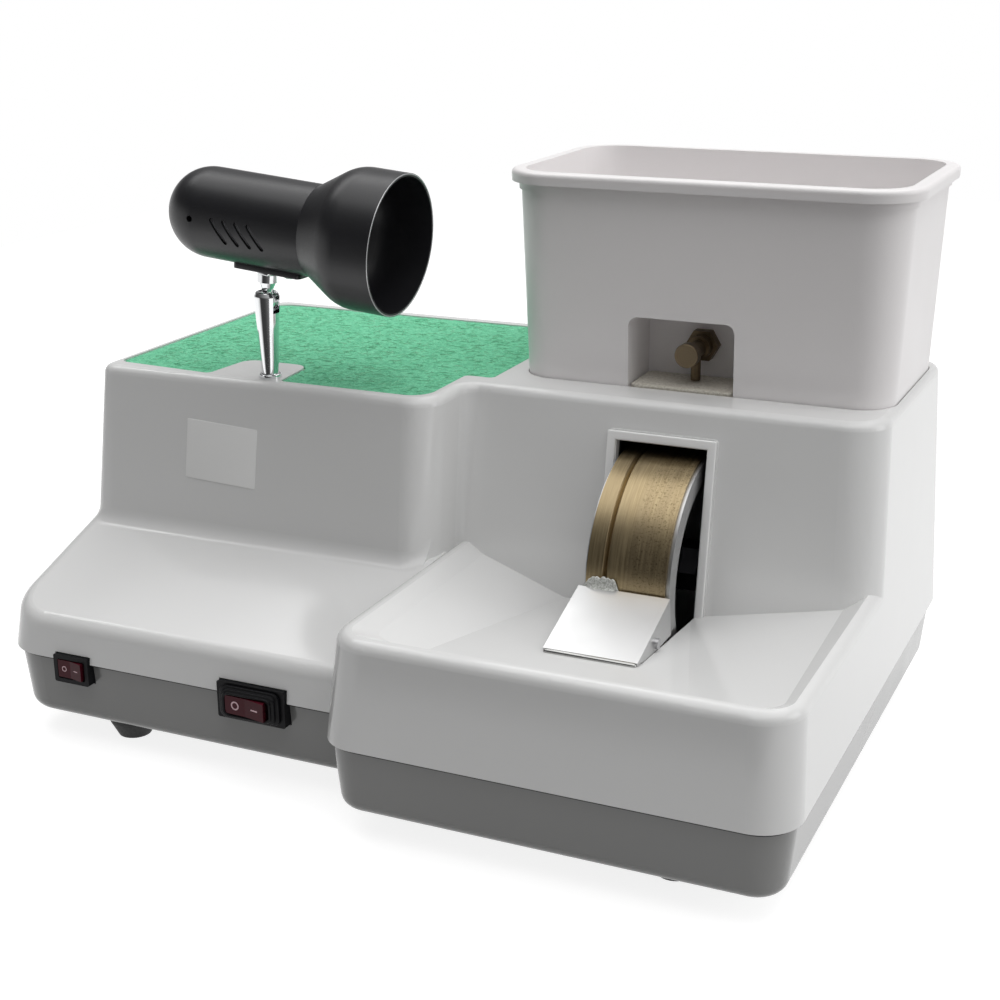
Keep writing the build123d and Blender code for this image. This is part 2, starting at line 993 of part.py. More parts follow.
def screw(length):
    """A pan-head screw that points up, with its seat at its own origin."""
    with BuildPart() as pan_screw:
        Cylinder(
            screw_head_radius, screw_head_height, align=(Align.CENTER, Align.CENTER, Align.MAX)
        )
        chamfer(pan_screw.edges().group_by(Axis.Z)[0], length=screw_chamfer)
        Cylinder(screw_radius, length, align=from_floor)
        with Locations((0, 0, -screw_head_height)):
            Cylinder(screw_drive_radius, screw_drive_depth, align=from_floor, mode=Mode.SUBTRACT)
    return pan_screw.part


foot_form = foot()
foot_screw_form = screw(foot_height - foot_recess_depth + base_wall + foot_boss_height / 2)
case_screw_form = screw(lug_bottom - foot_height - screw_seat_height + screw_bite - pin_gap)

with BuildPart() as rubber_feet:
    with Locations(*[(x, y, 0) for x, y in foot_places]):
        add(foot_form)
        Cylinder(foot_recess_radius, foot_recess_depth, align=from_floor, mode=Mode.SUBTRACT)
        Cylinder(screw_radius + 2 * pin_gap, foot_height, align=from_floor, mode=Mode.SUBTRACT)
rubber_feet.part.label = "rubber_feet"

with BuildPart() as foot_screws:
    with Locations(*[(x, y, foot_recess_depth) for x, y in foot_places]):
        add(foot_screw_form)
foot_screws.part.label = "foot_screws"

with BuildPart() as case_screws:
    with Locations(*[(x, y, foot_height + screw_seat_height) for x, y in lug_places]):
        add(case_screw_form)
case_screws.part.label = "case_screws"


# Cable gland in the rear pocket
gland_plane = Plane(origin=(gland_x, gland_y, gland_height), x_dir=(1, 0, 0), z_dir=(0, 1, 0))
with BuildPart() as cable_gland:
    with BuildSketch(gland_plane):
        RegularPolygon(gland_across / 2, 6, major_radius=False)
    extrude(amount=gland_hex_width)
    with BuildSketch(gland_plane.offset(gland_hex_width)):
        Circle(gland_dome_radius)
    extrude(amount=gland_dome_width)
    fillet(cable_gland.faces().sort_by(Axis.Y)[-1].edges(), radius=gland_round)
    with BuildSketch(gland_plane.offset(-gland_thread_length)):
        Circle(gland_thread_radius)
    extrude(amount=gland_thread_length)
    with BuildSketch(gland_plane.offset(-gland_thread_length)):
        Circle(gland_bore)
    extrude(amount=2 * overrun, mode=Mode.SUBTRACT)
cable_gland.part.label = "cable_gland"

gland_nut_plane = gland_plane.offset(-base_wall)
with BuildPart() as gland_nut:
    with BuildSketch(gland_nut_plane):
        RegularPolygon(gland_across / 2, 6, major_radius=False)
        Circle(gland_thread_radius + pin_gap, mode=Mode.SUBTRACT)
    extrude(amount=-gland_nut_width)
gland_nut.part.label = "gland_nut"


# Shaft, wheel and the nut that holds it
web_left = wheel_x - web_width / 2
web_right = wheel_x + web_width / 2
nut_right = web_right + washer_width + nut_width
motor_left = motor_x - motor_length / 2
motor_right = motor_x + motor_length / 2
shaft_left = motor_left - bell_length - shaft_rear
core_radius = wheel_radius - band_depth
plate_radius = wheel_radius - plate_step
bore_radius = shaft_radius + pin_gap

with BuildPart() as motor_shaft:
    shaft_right = nut_right + shaft_tip
    revolve(
        axle_profile(
            (shaft_left, 0),
            (shaft_left, shaft_radius),
            (shaft_right, shaft_radius),
            (shaft_right, 0),
        ),
        axis=axle,
    )
    chamfer(motor_shaft.edges().filter_by(GeomType.CIRCLE), length=shaft_chamfer)
motor_shaft.part.label = "motor_shaft"

with BuildPart() as wheel_flange:
    revolve(
        axle_profile(
            (web_left - collar_width, bore_radius),
            (web_left - collar_width, collar_radius - collar_width / 2),
            (web_left - collar_width / 2, collar_radius),
            (web_left, collar_radius),
            (web_left, bore_radius),
        ),
        axis=axle,
    )
wheel_flange.part.label = "wheel_flange"

with BuildPart() as wheel_hub:
    revolve(
        axle_profile(
            (web_left, bore_radius),
            (web_left, core_radius - hub_rim),
            (wheel_left, core_radius - hub_rim),
            (wheel_left, plate_radius),
            (wheel_left + plate_left, plate_radius),
            (wheel_left + plate_left, core_radius - pin_gap),
            (wheel_right - plate_right, core_radius - pin_gap),
            (wheel_right - plate_right, plate_radius),
            (wheel_right, plate_radius),
            (wheel_right, core_radius - hub_rim),
            (web_right, core_radius - hub_rim),
            (web_right, bore_radius),
        ),
        axis=axle,
    )
wheel_hub.part.label = "wheel_hub"

groove_left = wheel_left + groove_start
with BuildPart() as wheel_rim:
    revolve(
        axle_profile(
            (wheel_left + plate_left, core_radius),
            (wheel_left + plate_left, wheel_radius),
            (groove_left, wheel_radius),
            (groove_left + groove_width / 2, wheel_radius - groove_depth),
            (groove_left + groove_width, wheel_radius),
            (wheel_right - plate_right, wheel_radius),
            (wheel_right - plate_right, core_radius),
        ),
        axis=axle,
    )
wheel_rim.part.label = "wheel_rim"

with BuildPart() as wheel_washer:
    revolve(
        axle_profile(
            (web_right, bore_radius),
            (web_right, washer_radius),
            (web_right + washer_width, washer_radius),
            (web_right + washer_width, bore_radius),
        ),
        axis=axle,
    )
wheel_washer.part.label = "wheel_washer"

with BuildPart() as wheel_nut:
    with BuildSketch(Plane.YZ.offset(web_right + washer_width)):
        with Locations((axle_y, axle_height)):
            RegularPolygon(nut_across / 2, 6, major_radius=False)
            Circle(bore_radius, mode=Mode.SUBTRACT)
    extrude(amount=nut_width)
wheel_nut.part.label = "wheel_nut"


# Motor: bearings, end bells, shell, stator, windings, rotor, fan and cowl
def end_bell(side):
    """Cup at one end of the motor with a seat for its bearing."""
    face = motor_x + side * motor_length / 2
    back = face + side * bell_length
    wall = back - side * bell_wall
    seat = wall - side * bearing_width
    with BuildPart() as bell:
        revolve(
            axle_profile(
                (face, motor_radius - bell_wall),
                (face, motor_radius),
                (back - side * bell_round, motor_radius),
                (back, motor_radius - bell_round),
                (back, shaft_radius + bell_bore_gap),
                (wall, shaft_radius + bell_bore_gap),
                (wall, bearing_radius + pin_gap),
                (seat, bearing_radius + pin_gap),
                (seat, bearing_radius + bearing_wall),
                (wall, bearing_radius + bearing_wall),
                (wall, motor_radius - bell_wall),
            ),
            axis=axle,
        )
    return bell.part


def bearing(side):
    """Sealed ball bearing in an end bell, its seals set back between the rings."""
    outer_face = motor_x + side * (motor_length / 2 + bell_length - bell_wall)
    inner_face = outer_face - side * bearing_width
    step = side * bearing_seal_step
    with BuildPart() as ring:
        revolve(
            axle_profile(
                (inner_face, bore_radius),
                (inner_face, shaft_radius + bearing_ring),
                (inner_face + step, shaft_radius + bearing_ring),
                (inner_face + step, bearing_radius - bearing_ring),
                (inner_face, bearing_radius - bearing_ring),
                (inner_face, bearing_radius),
                (outer_face, bearing_radius),
                (outer_face, bearing_radius - bearing_ring),
                (outer_face - step, bearing_radius - bearing_ring),
                (outer_face - step, shaft_radius + bearing_ring),
                (outer_face, shaft_radius + bearing_ring),
                (outer_face, bore_radius),
            ),
            axis=axle,
        )
    return ring.part


with BuildPart() as end_bell_drive:
    add(end_bell(1))
end_bell_drive.part.label = "end_bell_drive"

with BuildPart() as end_bell_rear:
    add(end_bell(-1))
end_bell_rear.part.label = "end_bell_rear"

with BuildPart() as bearing_drive:
    add(bearing(1))
bearing_drive.part.label = "bearing_drive"

with BuildPart() as bearing_rear:
    add(bearing(-1))
bearing_rear.part.label = "bearing_rear"

with BuildPart() as motor_shell:
    revolve(
        axle_profile(
            (motor_left, motor_radius - motor_wall),
            (motor_left, motor_radius),
            (motor_right, motor_radius),
            (motor_right, motor_radius - motor_wall),
        ),
        axis=axle,
    )
motor_shell.part.label = "motor_shell"

stator_outer = motor_radius - motor_wall - pin_gap
with BuildPart() as motor_stator:
    revolve(
        axle_profile(
            (motor_x - stator_length / 2, stator_bore),
            (motor_x - stator_length / 2, stator_outer),
            (motor_x + stator_length / 2, stator_outer),
            (motor_x + stator_length / 2, stator_bore),
        ),
        axis=axle,
    )
motor_stator.part.label = "motor_stator"

with BuildPart() as motor_windings:
    for side in (-1, 1):
        low_x = motor_x + side * stator_length / 2
        high_x = low_x + side * winding_overhang
        revolve(
            axle_profile(
                (low_x, stator_bore + winding_inset),
                (high_x, stator_bore + winding_inset),
                (high_x, stator_bore + winding_wall),
                (low_x, stator_bore + winding_wall + winding_inset / 2),
            ),
            axis=axle,
        )
motor_windings.part.label = "motor_windings"

with BuildPart() as rotor_core:
    rotor_half = stator_length / 2 + rotor_overhang
    revolve(
        axle_profile(
            (motor_x - rotor_half, bore_radius),
            (motor_x - rotor_half, stator_bore - rotor_gap),
            (motor_x + rotor_half, stator_bore - rotor_gap),
            (motor_x + rotor_half, bore_radius),
        ),
        axis=axle,
    )
rotor_core.part.label = "rotor_core"

fan_left = shaft_left + shaft_tip
with BuildPart() as cooling_fan:
    with BuildSketch(Plane.YZ.offset(fan_left)):
        with Locations((axle_y, axle_height)):
            Circle(fan_hub_radius)
    extrude(amount=fan_width)
    with BuildSketch(Plane.YZ.offset(fan_left)):
        with Locations((axle_y, axle_height)):
            with PolarLocations(fan_radius / 2, fan_blades):
                Rectangle(fan_radius, fan_blade_thick)
    extrude(amount=fan_width)
    with BuildSketch(Plane.YZ.offset(fan_left)):
        with Locations((axle_y, axle_height)):
            Circle(bore_radius)
    extrude(amount=fan_width, mode=Mode.SUBTRACT)
cooling_fan.part.label = "cooling_fan"

cowl_right = motor_left - bell_length
cowl_left = cowl_right - cowl_length
with BuildPart() as fan_cowl:
    revolve(
        axle_profile(
            (cowl_right, cowl_radius - cowl_wall),
            (cowl_right, cowl_radius),
            (cowl_left + cowl_wall, cowl_radius),
            (cowl_left, cowl_radius - cowl_wall),
            (cowl_left, 0),
            (cowl_left + cowl_wall, 0),
            (cowl_left + cowl_wall, cowl_radius - cowl_wall),
        ),
        axis=axle,
    )
    with BuildSketch(Plane.YZ.offset(cowl_left)):
        with Locations((axle_y, axle_height)):
            with PolarLocations(cowl_vent_circle, cowl_vents):
                Circle(cowl_vent_radius)
    extrude(amount=cowl_wall, mode=Mode.SUBTRACT)
fan_cowl.part.label = "fan_cowl"

with BuildPart() as motor_cradle:
    with Locations((motor_x, axle_y, cradle_height)):
        Box(cradle_length, cradle_width, cradle_thick, align=from_floor)
    for side in (-1, 1):
        with Locations((motor_x + side * saddle_spread / 2, axle_y, cradle_height)):
            Box(
                saddle_width,
                2 * saddle_half,
                axle_height - saddle_half - cradle_height,
                align=from_floor,
            )
    with Locations(Location((motor_x, axle_y, axle_height), (0, 90, 0))):
        Cylinder(motor_radius + pin_gap, 2 * cradle_length, mode=Mode.SUBTRACT)
    with Locations(*[(x, y, cradle_height) for x, y in cradle_bolt_places]):
        Cylinder(
            cradle_bolt_radius + pin_gap, cradle_thick, align=from_floor, mode=Mode.SUBTRACT
        )
motor_cradle.part.label = "motor_cradle"

with BuildPart() as cradle_bolts:
    with Locations(*[(x, y, cradle_height + cradle_thick) for x, y in cradle_bolt_places]):
        Cylinder(cradle_bolt_head, cradle_bolt_head_height, align=from_floor)
    with Locations(*[(x, y, foot_height + screw_bite / 2) for x, y in cradle_bolt_places]):
        Cylinder(
            cradle_bolt_radius,
            cradle_height + cradle_thick - foot_height - screw_bite / 2,
            align=from_floor,
        )
cradle_bolts.part.label = "cradle_bolts"

with BuildPart() as run_capacitor:
    with Locations(Location((capacitor_x, capacitor_y, capacitor_z), (0, 90, 0))):
        Cylinder(capacitor_radius, capacitor_length)
    chamfer(run_capacitor.edges().filter_by(GeomType.CIRCLE), length=capacitor_chamfer)
    cap_end = capacitor_x + capacitor_length / 2
    for side in (-1, 1):
        spot = (cap_end, capacitor_y + side * terminal_spread / 2, capacitor_z)
        with Locations(Location(spot, (0, 90, 0))):
            Cylinder(terminal_radius, terminal_height, align=from_floor)
run_capacitor.part.label = "run_capacitor"


# Splash box, its seal and its drain
box_left = wheel_left - box_side_gap - box_wall
box_right = wheel_right + box_side_gap + box_wall
box_front = mouth_y - base_wall
box_back = axle_y + wheel_radius + box_wheel_gap + box_wall
box_top = seat_height - shell_wall - fit_gap
wall_back = shell_wall / cos(radians(wall_tilt)) + fit_gap
guard_screw_y = front_y + guard_screw_setback


def box_roof(y):
    """Top of the splash box just under the tray floor."""
    return tray_floor(y) - shell_wall - fit_gap


roof_end = wall_y(tray_floor_height) + wall_back
box_points = [
    (box_front, box_roof(box_front)),
    (box_front, box_front_low),
    (front_y + box_sump_front, box_sump_height),
    (front_y + box_sump_back, box_sump_height),
    (box_back, box_knee_height),
    (box_back, box_top),
    (wall_y(box_top) + wall_back, box_top),
    (roof_end, box_roof(roof_end)),
]
box_outline = side_profile(box_left, *box_points)
with BuildSketch(Plane.YZ.offset(box_left + box_wall)) as box_inside:
    with BuildLine():
        Polyline(*box_points, close=True)
    make_face()
    offset(amount=-box_wall, kind=Kind.INTERSECTION, mode=Mode.REPLACE)

with BuildPart() as splash_box:
    extrude(box_outline, amount=box_right - box_left)
    extrude(
        box_inside.sketch, amount=box_right - box_left - 2 * box_wall, mode=Mode.SUBTRACT
    )
    add(slot_cut.part, mode=Mode.SUBTRACT)
    with Locations(Location((box_left, axle_y, axle_height), (0, 90, 0))):
        Cylinder(seal_radius, 4 * box_wall, mode=Mode.SUBTRACT)
    with Locations((tap_x, spout_y, box_top)):
        Cylinder(drip_hole_radius, 4 * box_wall, mode=Mode.SUBTRACT)
    with Locations((*drain_place, box_sump_height)):
        Cylinder(drain_bore, 4 * box_wall, mode=Mode.SUBTRACT)
    with Locations((wheel_x, front_y + (box_sump_front + box_sump_back) / 2, base_floor_top)):
        with GridLocations(box_leg_spread_x, box_leg_spread_y, 2, 2):
            Cylinder(box_leg_radius, box_sump_height - base_floor_top, align=from_floor)
    ear_gap = guard_side_gap + guard_sheet + pin_gap
    for side, edge in ((1, slot_left), (-1, slot_right)):
        ear_x = edge + side * (ear_gap + ear_width / 2)
        wall_x = edge - side * (box_side_gap - slot_side_gap)
        ear_y = front_y + (ear_front + ear_back) / 2
        with Locations((ear_x, ear_y, ear_low)):
            Box(ear_width, ear_back - ear_front, ear_top - ear_low, align=from_floor)
        with Locations(((ear_x + wall_x) / 2, ear_y, ear_low)):
            Box(
                abs(ear_x - wall_x) + ear_width,
                ear_back - ear_front,
                ear_rib_height,
                align=from_floor,
            )
        with Locations(Location((ear_x, guard_screw_y, guard_screw_height), (0, 90, 0))):
            Cylinder(guard_screw_radius + pin_gap, 2 * ear_width, mode=Mode.SUBTRACT)
splash_box.part.label = "splash_box"

with BuildPart() as shaft_seal:
    lip_left = box_left - seal_lip
    revolve(
        axle_profile(
            (lip_left, bore_radius),
            (lip_left, seal_lip_radius),
            (box_left, seal_lip_radius),
            (box_left, seal_radius - pin_gap),
            (box_left + box_wall, seal_radius - pin_gap),
            (box_left + box_wall + seal_lip, bore_radius + seal_lip),
            (box_left + box_wall + seal_lip, bore_radius),
        ),
        axis=axle,
    )
shaft_seal.part.label = "shaft_seal"

with BuildPart() as drain_spout:
    with Locations((*drain_place, box_sump_height)):
        Cylinder(
            drain_flange, drain_flange_thick, align=(Align.CENTER, Align.CENTER, Align.MAX)
        )
    with Locations((*drain_place, drain_end_height)):
        Cylinder(drain_radius, box_sump_height - drain_end_height, align=from_floor)
    with Locations((*drain_place, drain_end_height)):
        Cylinder(drain_bore, overrun + box_sump_height, align=from_floor, mode=Mode.SUBTRACT)
drain_spout.part.label = "drain_spout"


# Polished guard, its screws and the wiper behind it
guard_left = slot_left + guard_side_gap
guard_right = slot_right - guard_side_gap
foot_y = front_y + guard_foot
foot_z = tray_floor(foot_y) + guard_foot_gap
fold_z = foot_z + guard_lip
head_y = front_y + guard_head
guard_slope = atan2(guard_head_height - fold_z, head_y - foot_y)
back_y_shift = guard_sheet * sin(guard_slope)
back_z_shift = guard_sheet * cos(guard_slope)
guard_rise_share = (guard_head_height - fold_z) / (head_y - foot_y)


def under_guard(y):
    """Height of the guard's underside at a depth."""
    return fold_z + guard_rise_share * (y - foot_y) - guard_sheet / cos(guard_slope)


sheet_profile = side_profile(
    guard_left,
    (foot_y, foot_z),
    (foot_y, fold_z),
    (head_y, guard_head_height),
    (head_y + back_y_shift, guard_head_height - back_z_shift),
    (foot_y + guard_sheet, under_guard(foot_y + guard_sheet)),
    (foot_y + guard_sheet, foot_z),
)
cheek_y = front_y + cheek_front

with BuildPart() as splash_guard:
    extrude(sheet_profile, amount=guard_right - guard_left)
    for cheek_left in (guard_left, guard_right - guard_sheet):
        cheek_profile = side_profile(
            cheek_left,
            (foot_y + guard_sheet / 2, foot_z),
            (foot_y + guard_sheet / 2, fold_z - guard_sheet / 2),
            (head_y, guard_head_height - guard_sheet),
            (front_y + cheek_back, cheek_low),
            (cheek_y, cheek_low),
            (cheek_y, foot_z),
        )
        extrude(cheek_profile, amount=guard_sheet)
    with Locations(Location((wheel_x, guard_screw_y, guard_screw_height), (0, 90, 0))):
        Cylinder(guard_screw_radius + 2 * pin_gap, 2 * slot_width, mode=Mode.SUBTRACT)
splash_guard.part.label = "splash_guard"

with BuildPart() as guard_screws:
    for side, edge in ((1, guard_left), (-1, guard_right)):
        turn = Location((edge, guard_screw_y, guard_screw_height), (0, side * 90, 0))
        with Locations(turn):
            Cylinder(
                guard_screw_head,
                guard_screw_head_height,
                align=(Align.CENTER, Align.CENTER, Align.MAX),
            )
            Cylinder(guard_screw_radius, guard_sheet + 2 * ear_width, align=from_floor)
guard_screws.part.label = "guard_screws"

wiper_left = guard_left + guard_sheet + fit_gap
wiper_right = guard_right - guard_sheet - fit_gap
wiper_y = front_y + wiper_front
wiper_lip_y = head_y + back_y_shift + pin_gap
wiper_points = [
    (wiper_y, wiper_low),
    (wiper_y, under_guard(wiper_y) - pin_gap),
    (wiper_lip_y, under_guard(wiper_lip_y) - pin_gap),
    (wiper_lip_y, wiper_top),
    (axle_y, wiper_top),
    (axle_y, wiper_low),
]
with BuildPart() as wiper_sponge:
    extrude(side_profile(wiper_left, *wiper_points), amount=wiper_right - wiper_left)
    with Locations(Location((wheel_x, axle_y, axle_height), (0, 90, 0))):
        Cylinder(wheel_radius + wiper_gap, 2 * wheel_width, mode=Mode.SUBTRACT)
wiper_sponge.part.label = "wiper_sponge"


# Work lamp: post in the deck, ball, bracket, body, shade, socket and bulb
ball_point = (post_x, post_y, ball_height)
dip = radians(lamp_dip)
lamp_point = (post_x + lamp_drop * sin(dip), post_y, ball_height + lamp_drop * cos(dip))
lamp_axis = Axis(lamp_point, (cos(dip), 0, -sin(dip)))
lamp_half = Plane(origin=lamp_point, x_dir=(cos(dip), 0, -sin(dip)), z_dir=(0, -1, 0))
neck_plane = Plane(origin=ball_point, x_dir=(cos(dip), 0, -sin(dip)), z_dir=(sin(dip), 0, cos(dip)))
neck_half = Plane(origin=ball_point, x_dir=(cos(dip), 0, -sin(dip)), z_dir=(0, -1, 0))
neck_axis = Axis(ball_point, (sin(dip), 0, cos(dip)))
upright = Axis((post_x, post_y, 0), (0, 0, 1))
post_foot_z = top_height + post_ring_height
shoulder_z = ball_height + post_shoulder
cap_z = ball_height + post_cap_rise

with BuildPart() as post_washer:
    with Locations((post_x, post_y, top_height)):
        Cylinder(post_ring_radius, post_ring_height, align=from_floor)
    fillet(post_washer.faces().sort_by(Axis.Z)[-1].edges(), radius=post_ring_height / 3)
    with Locations((post_x, post_y, top_height)):
        Cylinder(
            post_thread_radius + pin_gap, post_ring_height, align=from_floor, mode=Mode.SUBTRACT
        )
post_washer.part.label = "post_washer"

with BuildPart() as lamp_post:
    with BuildSketch(across(post_y)):
        with BuildLine():
            FilletPolyline(
                (post_x, top_height - post_thread_length),
                (post_x + post_thread_radius, top_height - post_thread_length),
                (post_x + post_thread_radius, post_foot_z),
                (post_x + post_foot_radius, post_foot_z),
                (post_x + post_top_radius, shoulder_z),
                (post_x + post_cap_radius, cap_z),
                (post_x, cap_z),
                radius=[0, 0, 0, 0, post_shoulder / 2, post_shoulder / 2, 0],
                close=True,
            )
        make_face()
    revolve(axis=upright)
    with Locations(ball_point):
        Sphere(ball_radius + ball_gap, mode=Mode.SUBTRACT)
    slot_half = neck_radius + neck_room
    with Locations(ball_point):
        Box(
            2 * post_top_radius,
            2 * slot_half,
            2 * post_cap_rise,
            align=(Align.MIN, Align.CENTER, Align.CENTER),
            mode=Mode.SUBTRACT,
        )
        Cylinder(slot_half, 2 * post_cap_rise, align=from_floor, mode=Mode.SUBTRACT)
        Box(
            slot_half + neck_room + neck_room,
            2 * slot_half,
            2 * post_cap_rise,
            align=(Align.MAX, Align.CENTER, Align.MIN),
            mode=Mode.SUBTRACT,
        )
lamp_post.part.label = "lamp_post"

with BuildPart() as post_nut:
    nut_top = seat_height - shell_wall - fit_gap
    with BuildSketch(Plane.XY.offset(nut_top - post_nut_height)):
        with Locations((post_x, post_y)):
            RegularPolygon(post_nut_across / 2, 6, major_radius=False)
            Circle(post_thread_radius + pin_gap, mode=Mode.SUBTRACT)
    extrude(amount=post_nut_height)
post_nut.part.label = "post_nut"

bracket_low = lamp_drop - lamp_radius - bracket_flat
with BuildPart() as ball_neck:
    with BuildSketch(neck_half):
        with BuildLine():
            Polyline(
                (0, 0),
                (neck_radius, 0),
                (neck_radius, post_cap_rise),
                (collar_wide - 1.5 * neck_room, bracket_low - collar_height),
                (collar_wide, bracket_low - collar_height),
                (collar_wide, bracket_low),
                (0, bracket_low),
                close=True,
            )
        make_face()
    revolve(axis=neck_axis)
    with Locations(ball_point):
        Sphere(ball_radius)
ball_neck.part.label = "ball_neck"

with BuildPart() as lamp_bracket:
    with BuildSketch(neck_plane.offset(bracket_low)):
        with Locations((bracket_shift, 0)):
            RectangleRounded(bracket_length, bracket_width, bracket_width / 4)
    extrude(amount=bracket_thick + bracket_flat)
    with BuildSketch(lamp_half):
        with Locations((0, 0)):
            Rectangle(4 * bracket_length, lamp_radius + pin_gap, align=(Align.CENTER, Align.MAX))
    revolve(axis=lamp_axis, mode=Mode.SUBTRACT)
    with BuildSketch(neck_plane.offset(bracket_low)):
        with Locations((bracket_screw_shift, 0)):
            Circle(bracket_screw_radius + pin_gap)
    extrude(amount=bracket_thick + bracket_flat, mode=Mode.SUBTRACT)
lamp_bracket.part.label = "lamp_bracket"

with BuildPart() as bracket_screw:
    with BuildSketch(neck_plane.offset(bracket_low)):
        with Locations((bracket_screw_shift, 0)):
            Circle(bracket_screw_head)
    extrude(amount=-bracket_screw_dome)
    fillet(bracket_screw.edges().group_by(neck_axis)[0], radius=bracket_screw_dome * dome_share)
    with BuildSketch(neck_plane.offset(bracket_low)):
        with Locations((bracket_screw_shift, 0)):
            Circle(bracket_screw_radius)
    extrude(amount=bracket_flat + lamp_wall)
bracket_screw.part.label = "bracket_screw"

spigot_radius = lamp_radius - shade_wall - pin_gap
tube_bore = lamp_radius - lamp_wall
with BuildPart() as lamp_body:
    with BuildSketch(lamp_half):
        with BuildLine():
            CenterArc((-lamp_tail, 0), lamp_radius, 90, 90)
            Polyline(
                (-lamp_tail, lamp_radius),
                (lamp_seam, lamp_radius),
                (lamp_seam, spigot_radius),
                (lamp_seam + seam_lap, spigot_radius),
                (lamp_seam + seam_lap, spigot_radius - lamp_wall),
                (lamp_seam - seam_lap, spigot_radius - lamp_wall),
                (lamp_seam - seam_lap, tube_bore),
                (-lamp_tail, tube_bore),
            )
            CenterArc((-lamp_tail, 0), tube_bore, 90, 90)
            Line((-lamp_tail - lamp_radius, 0), (-lamp_tail - tube_bore, 0))
        make_face()
    revolve(axis=lamp_axis)
    with BuildSketch(lamp_half.offset(lamp_radius / 2)):
        for count in range(vent_count):
            with Locations((-vent_start + count * vent_pitch, -vent_drop)):
                SlotOverall(vent_length, vent_width, rotation=-90 + vent_slant)
    extrude(amount=lamp_radius, mode=Mode.SUBTRACT)
    with BuildSketch(lamp_half):
        with Locations((-lamp_tail, 0)):
            Circle(lamp_peep_radius)
    extrude(amount=2 * lamp_radius, mode=Mode.SUBTRACT)
    with BuildSketch(neck_plane.offset(bracket_low)):
        with Locations((bracket_screw_shift, 0)):
            Circle(bracket_screw_radius + pin_gap)
    extrude(amount=bracket_flat + 2 * lamp_wall, mode=Mode.SUBTRACT)
lamp_body.part.label = "lamp_body"

flare = atan2(shade_radius - lamp_radius, shade_shoulder - lamp_seam)
inner_start = lamp_seam + shade_wall * sin(flare) / 2
inner_turn = shade_shoulder + shade_wall * (1 - cos(flare)) / sin(flare)
with BuildPart() as lamp_shade:
    with BuildSketch(lamp_half):
        with BuildLine():
            FilletPolyline(
                (lamp_seam, lamp_radius - shade_wall),
                (lamp_seam, lamp_radius),
                (shade_shoulder, shade_radius),
                (shade_rim, shade_radius),
                (shade_rim, shade_radius - shade_wall),
                (inner_turn, shade_radius - shade_wall),
                (inner_start, lamp_radius - shade_wall),
                radius=[0, 0, shade_bend, 0, 0, shade_bend - shade_wall, 0],
                close=True,
            )
        make_face()
    revolve(axis=lamp_axis)
lamp_shade.part.label = "lamp_shade"

socket_front = socket_back + socket_length
with BuildPart() as lamp_socket:
    with BuildSketch(lamp_half):
        with BuildLine():
            Polyline(
                (socket_back, 0),
                (socket_back, tube_bore - fit_gap),
                (socket_back + socket_flange_thick, tube_bore - fit_gap),
                (socket_back + socket_flange_thick, socket_radius),
                (socket_front, socket_radius),
                (socket_front, 0),
                close=True,
            )
        make_face()
    revolve(axis=lamp_axis)
lamp_socket.part.label = "lamp_socket"

with BuildPart() as lamp_bulb:
    with BuildSketch(lamp_half):
        with BuildLine():
            Spline(
                (socket_front, bulb_neck),
                (socket_front + bulb_length / 2, bulb_radius),
                (socket_front + bulb_length, 0),
                tangents=[(1, 0.3), (0, -1)],
            )
            Polyline((socket_front + bulb_length, 0), (socket_front, 0), (socket_front, bulb_neck))
        make_face()
    revolve(axis=lamp_axis)
lamp_bulb.part.label = "lamp_bulb"


# Water tank with its tap recess
rim_low = tank_top - rim_tall
step_low = rim_low - rim_step_tall
tank_body = tank_prism(seat_height, tank_top, 0)
tank_space = tank_prism(seat_height + tank_floor, tank_top, -tank_wall)
rim_block = tank_prism(rim_low, tank_top, rim_out)
rim_step = tank_prism(step_low, rim_low, rim_step_out)
hook_outer = tank_prism(rim_low, rim_low + rim_hook, rim_out - rim_bead)
hook_inner = tank_prism(rim_low, rim_low + rim_hook, rim_step_out)
notch_front = front_y + tank_front - rim_out


def tap_notch(grow):
    """The recess at the foot of the tank, open at the front and below."""
    side = notch_width / 2 + grow
    points = [
        (notch_x - side, seat_height - grow),
        (notch_x + side, seat_height - grow),
        (notch_x + side, notch_top + grow),
        (notch_x - side, notch_top + grow),
    ]
    corner = notch_corner + grow
    with BuildPart() as notch:
        with BuildSketch(across(notch_back_y + grow)):
            with BuildLine():
                FilletPolyline(*points, radius=[0, 0, corner, corner], close=True)
            make_face()
        extrude(amount=notch_back_y + grow - notch_front)
    return notch.part


notch_cut = tap_notch(0)
notch_wall = tap_notch(tank_wall)
tap_place = (tap_x, notch_back_y, tap_height)
tap_out = Plane(origin=tap_place, x_dir=(1, 0, 0), z_dir=(0, -1, 0))
tap_in = Plane(origin=tap_place, x_dir=(1, 0, 0), z_dir=(0, 1, 0))

with BuildPart() as tank_hollow:
    add(tank_space)
    add(notch_wall, mode=Mode.SUBTRACT)

with BuildPart() as tank_rim:
    add(rim_block)
    fillet(tank_rim.faces().sort_by(Axis.Z)[-1].edges(), radius=rim_bead)
    add(hook_outer, mode=Mode.SUBTRACT)
    add(hook_inner)
    add(rim_step)

with BuildPart() as water_tank:
    add(tank_body)
    fillet(water_tank.faces().sort_by(Axis.Z)[0].edges(), radius=tank_foot_round)
    add(tank_rim.part)
    add(tank_hollow.part, mode=Mode.SUBTRACT)
    add(notch_cut, mode=Mode.SUBTRACT)
    with BuildSketch(tap_in):
        Circle(tap_radius + pin_gap)
    extrude(amount=tank_wall, mode=Mode.SUBTRACT)
water_tank.part.label = "water_tank"

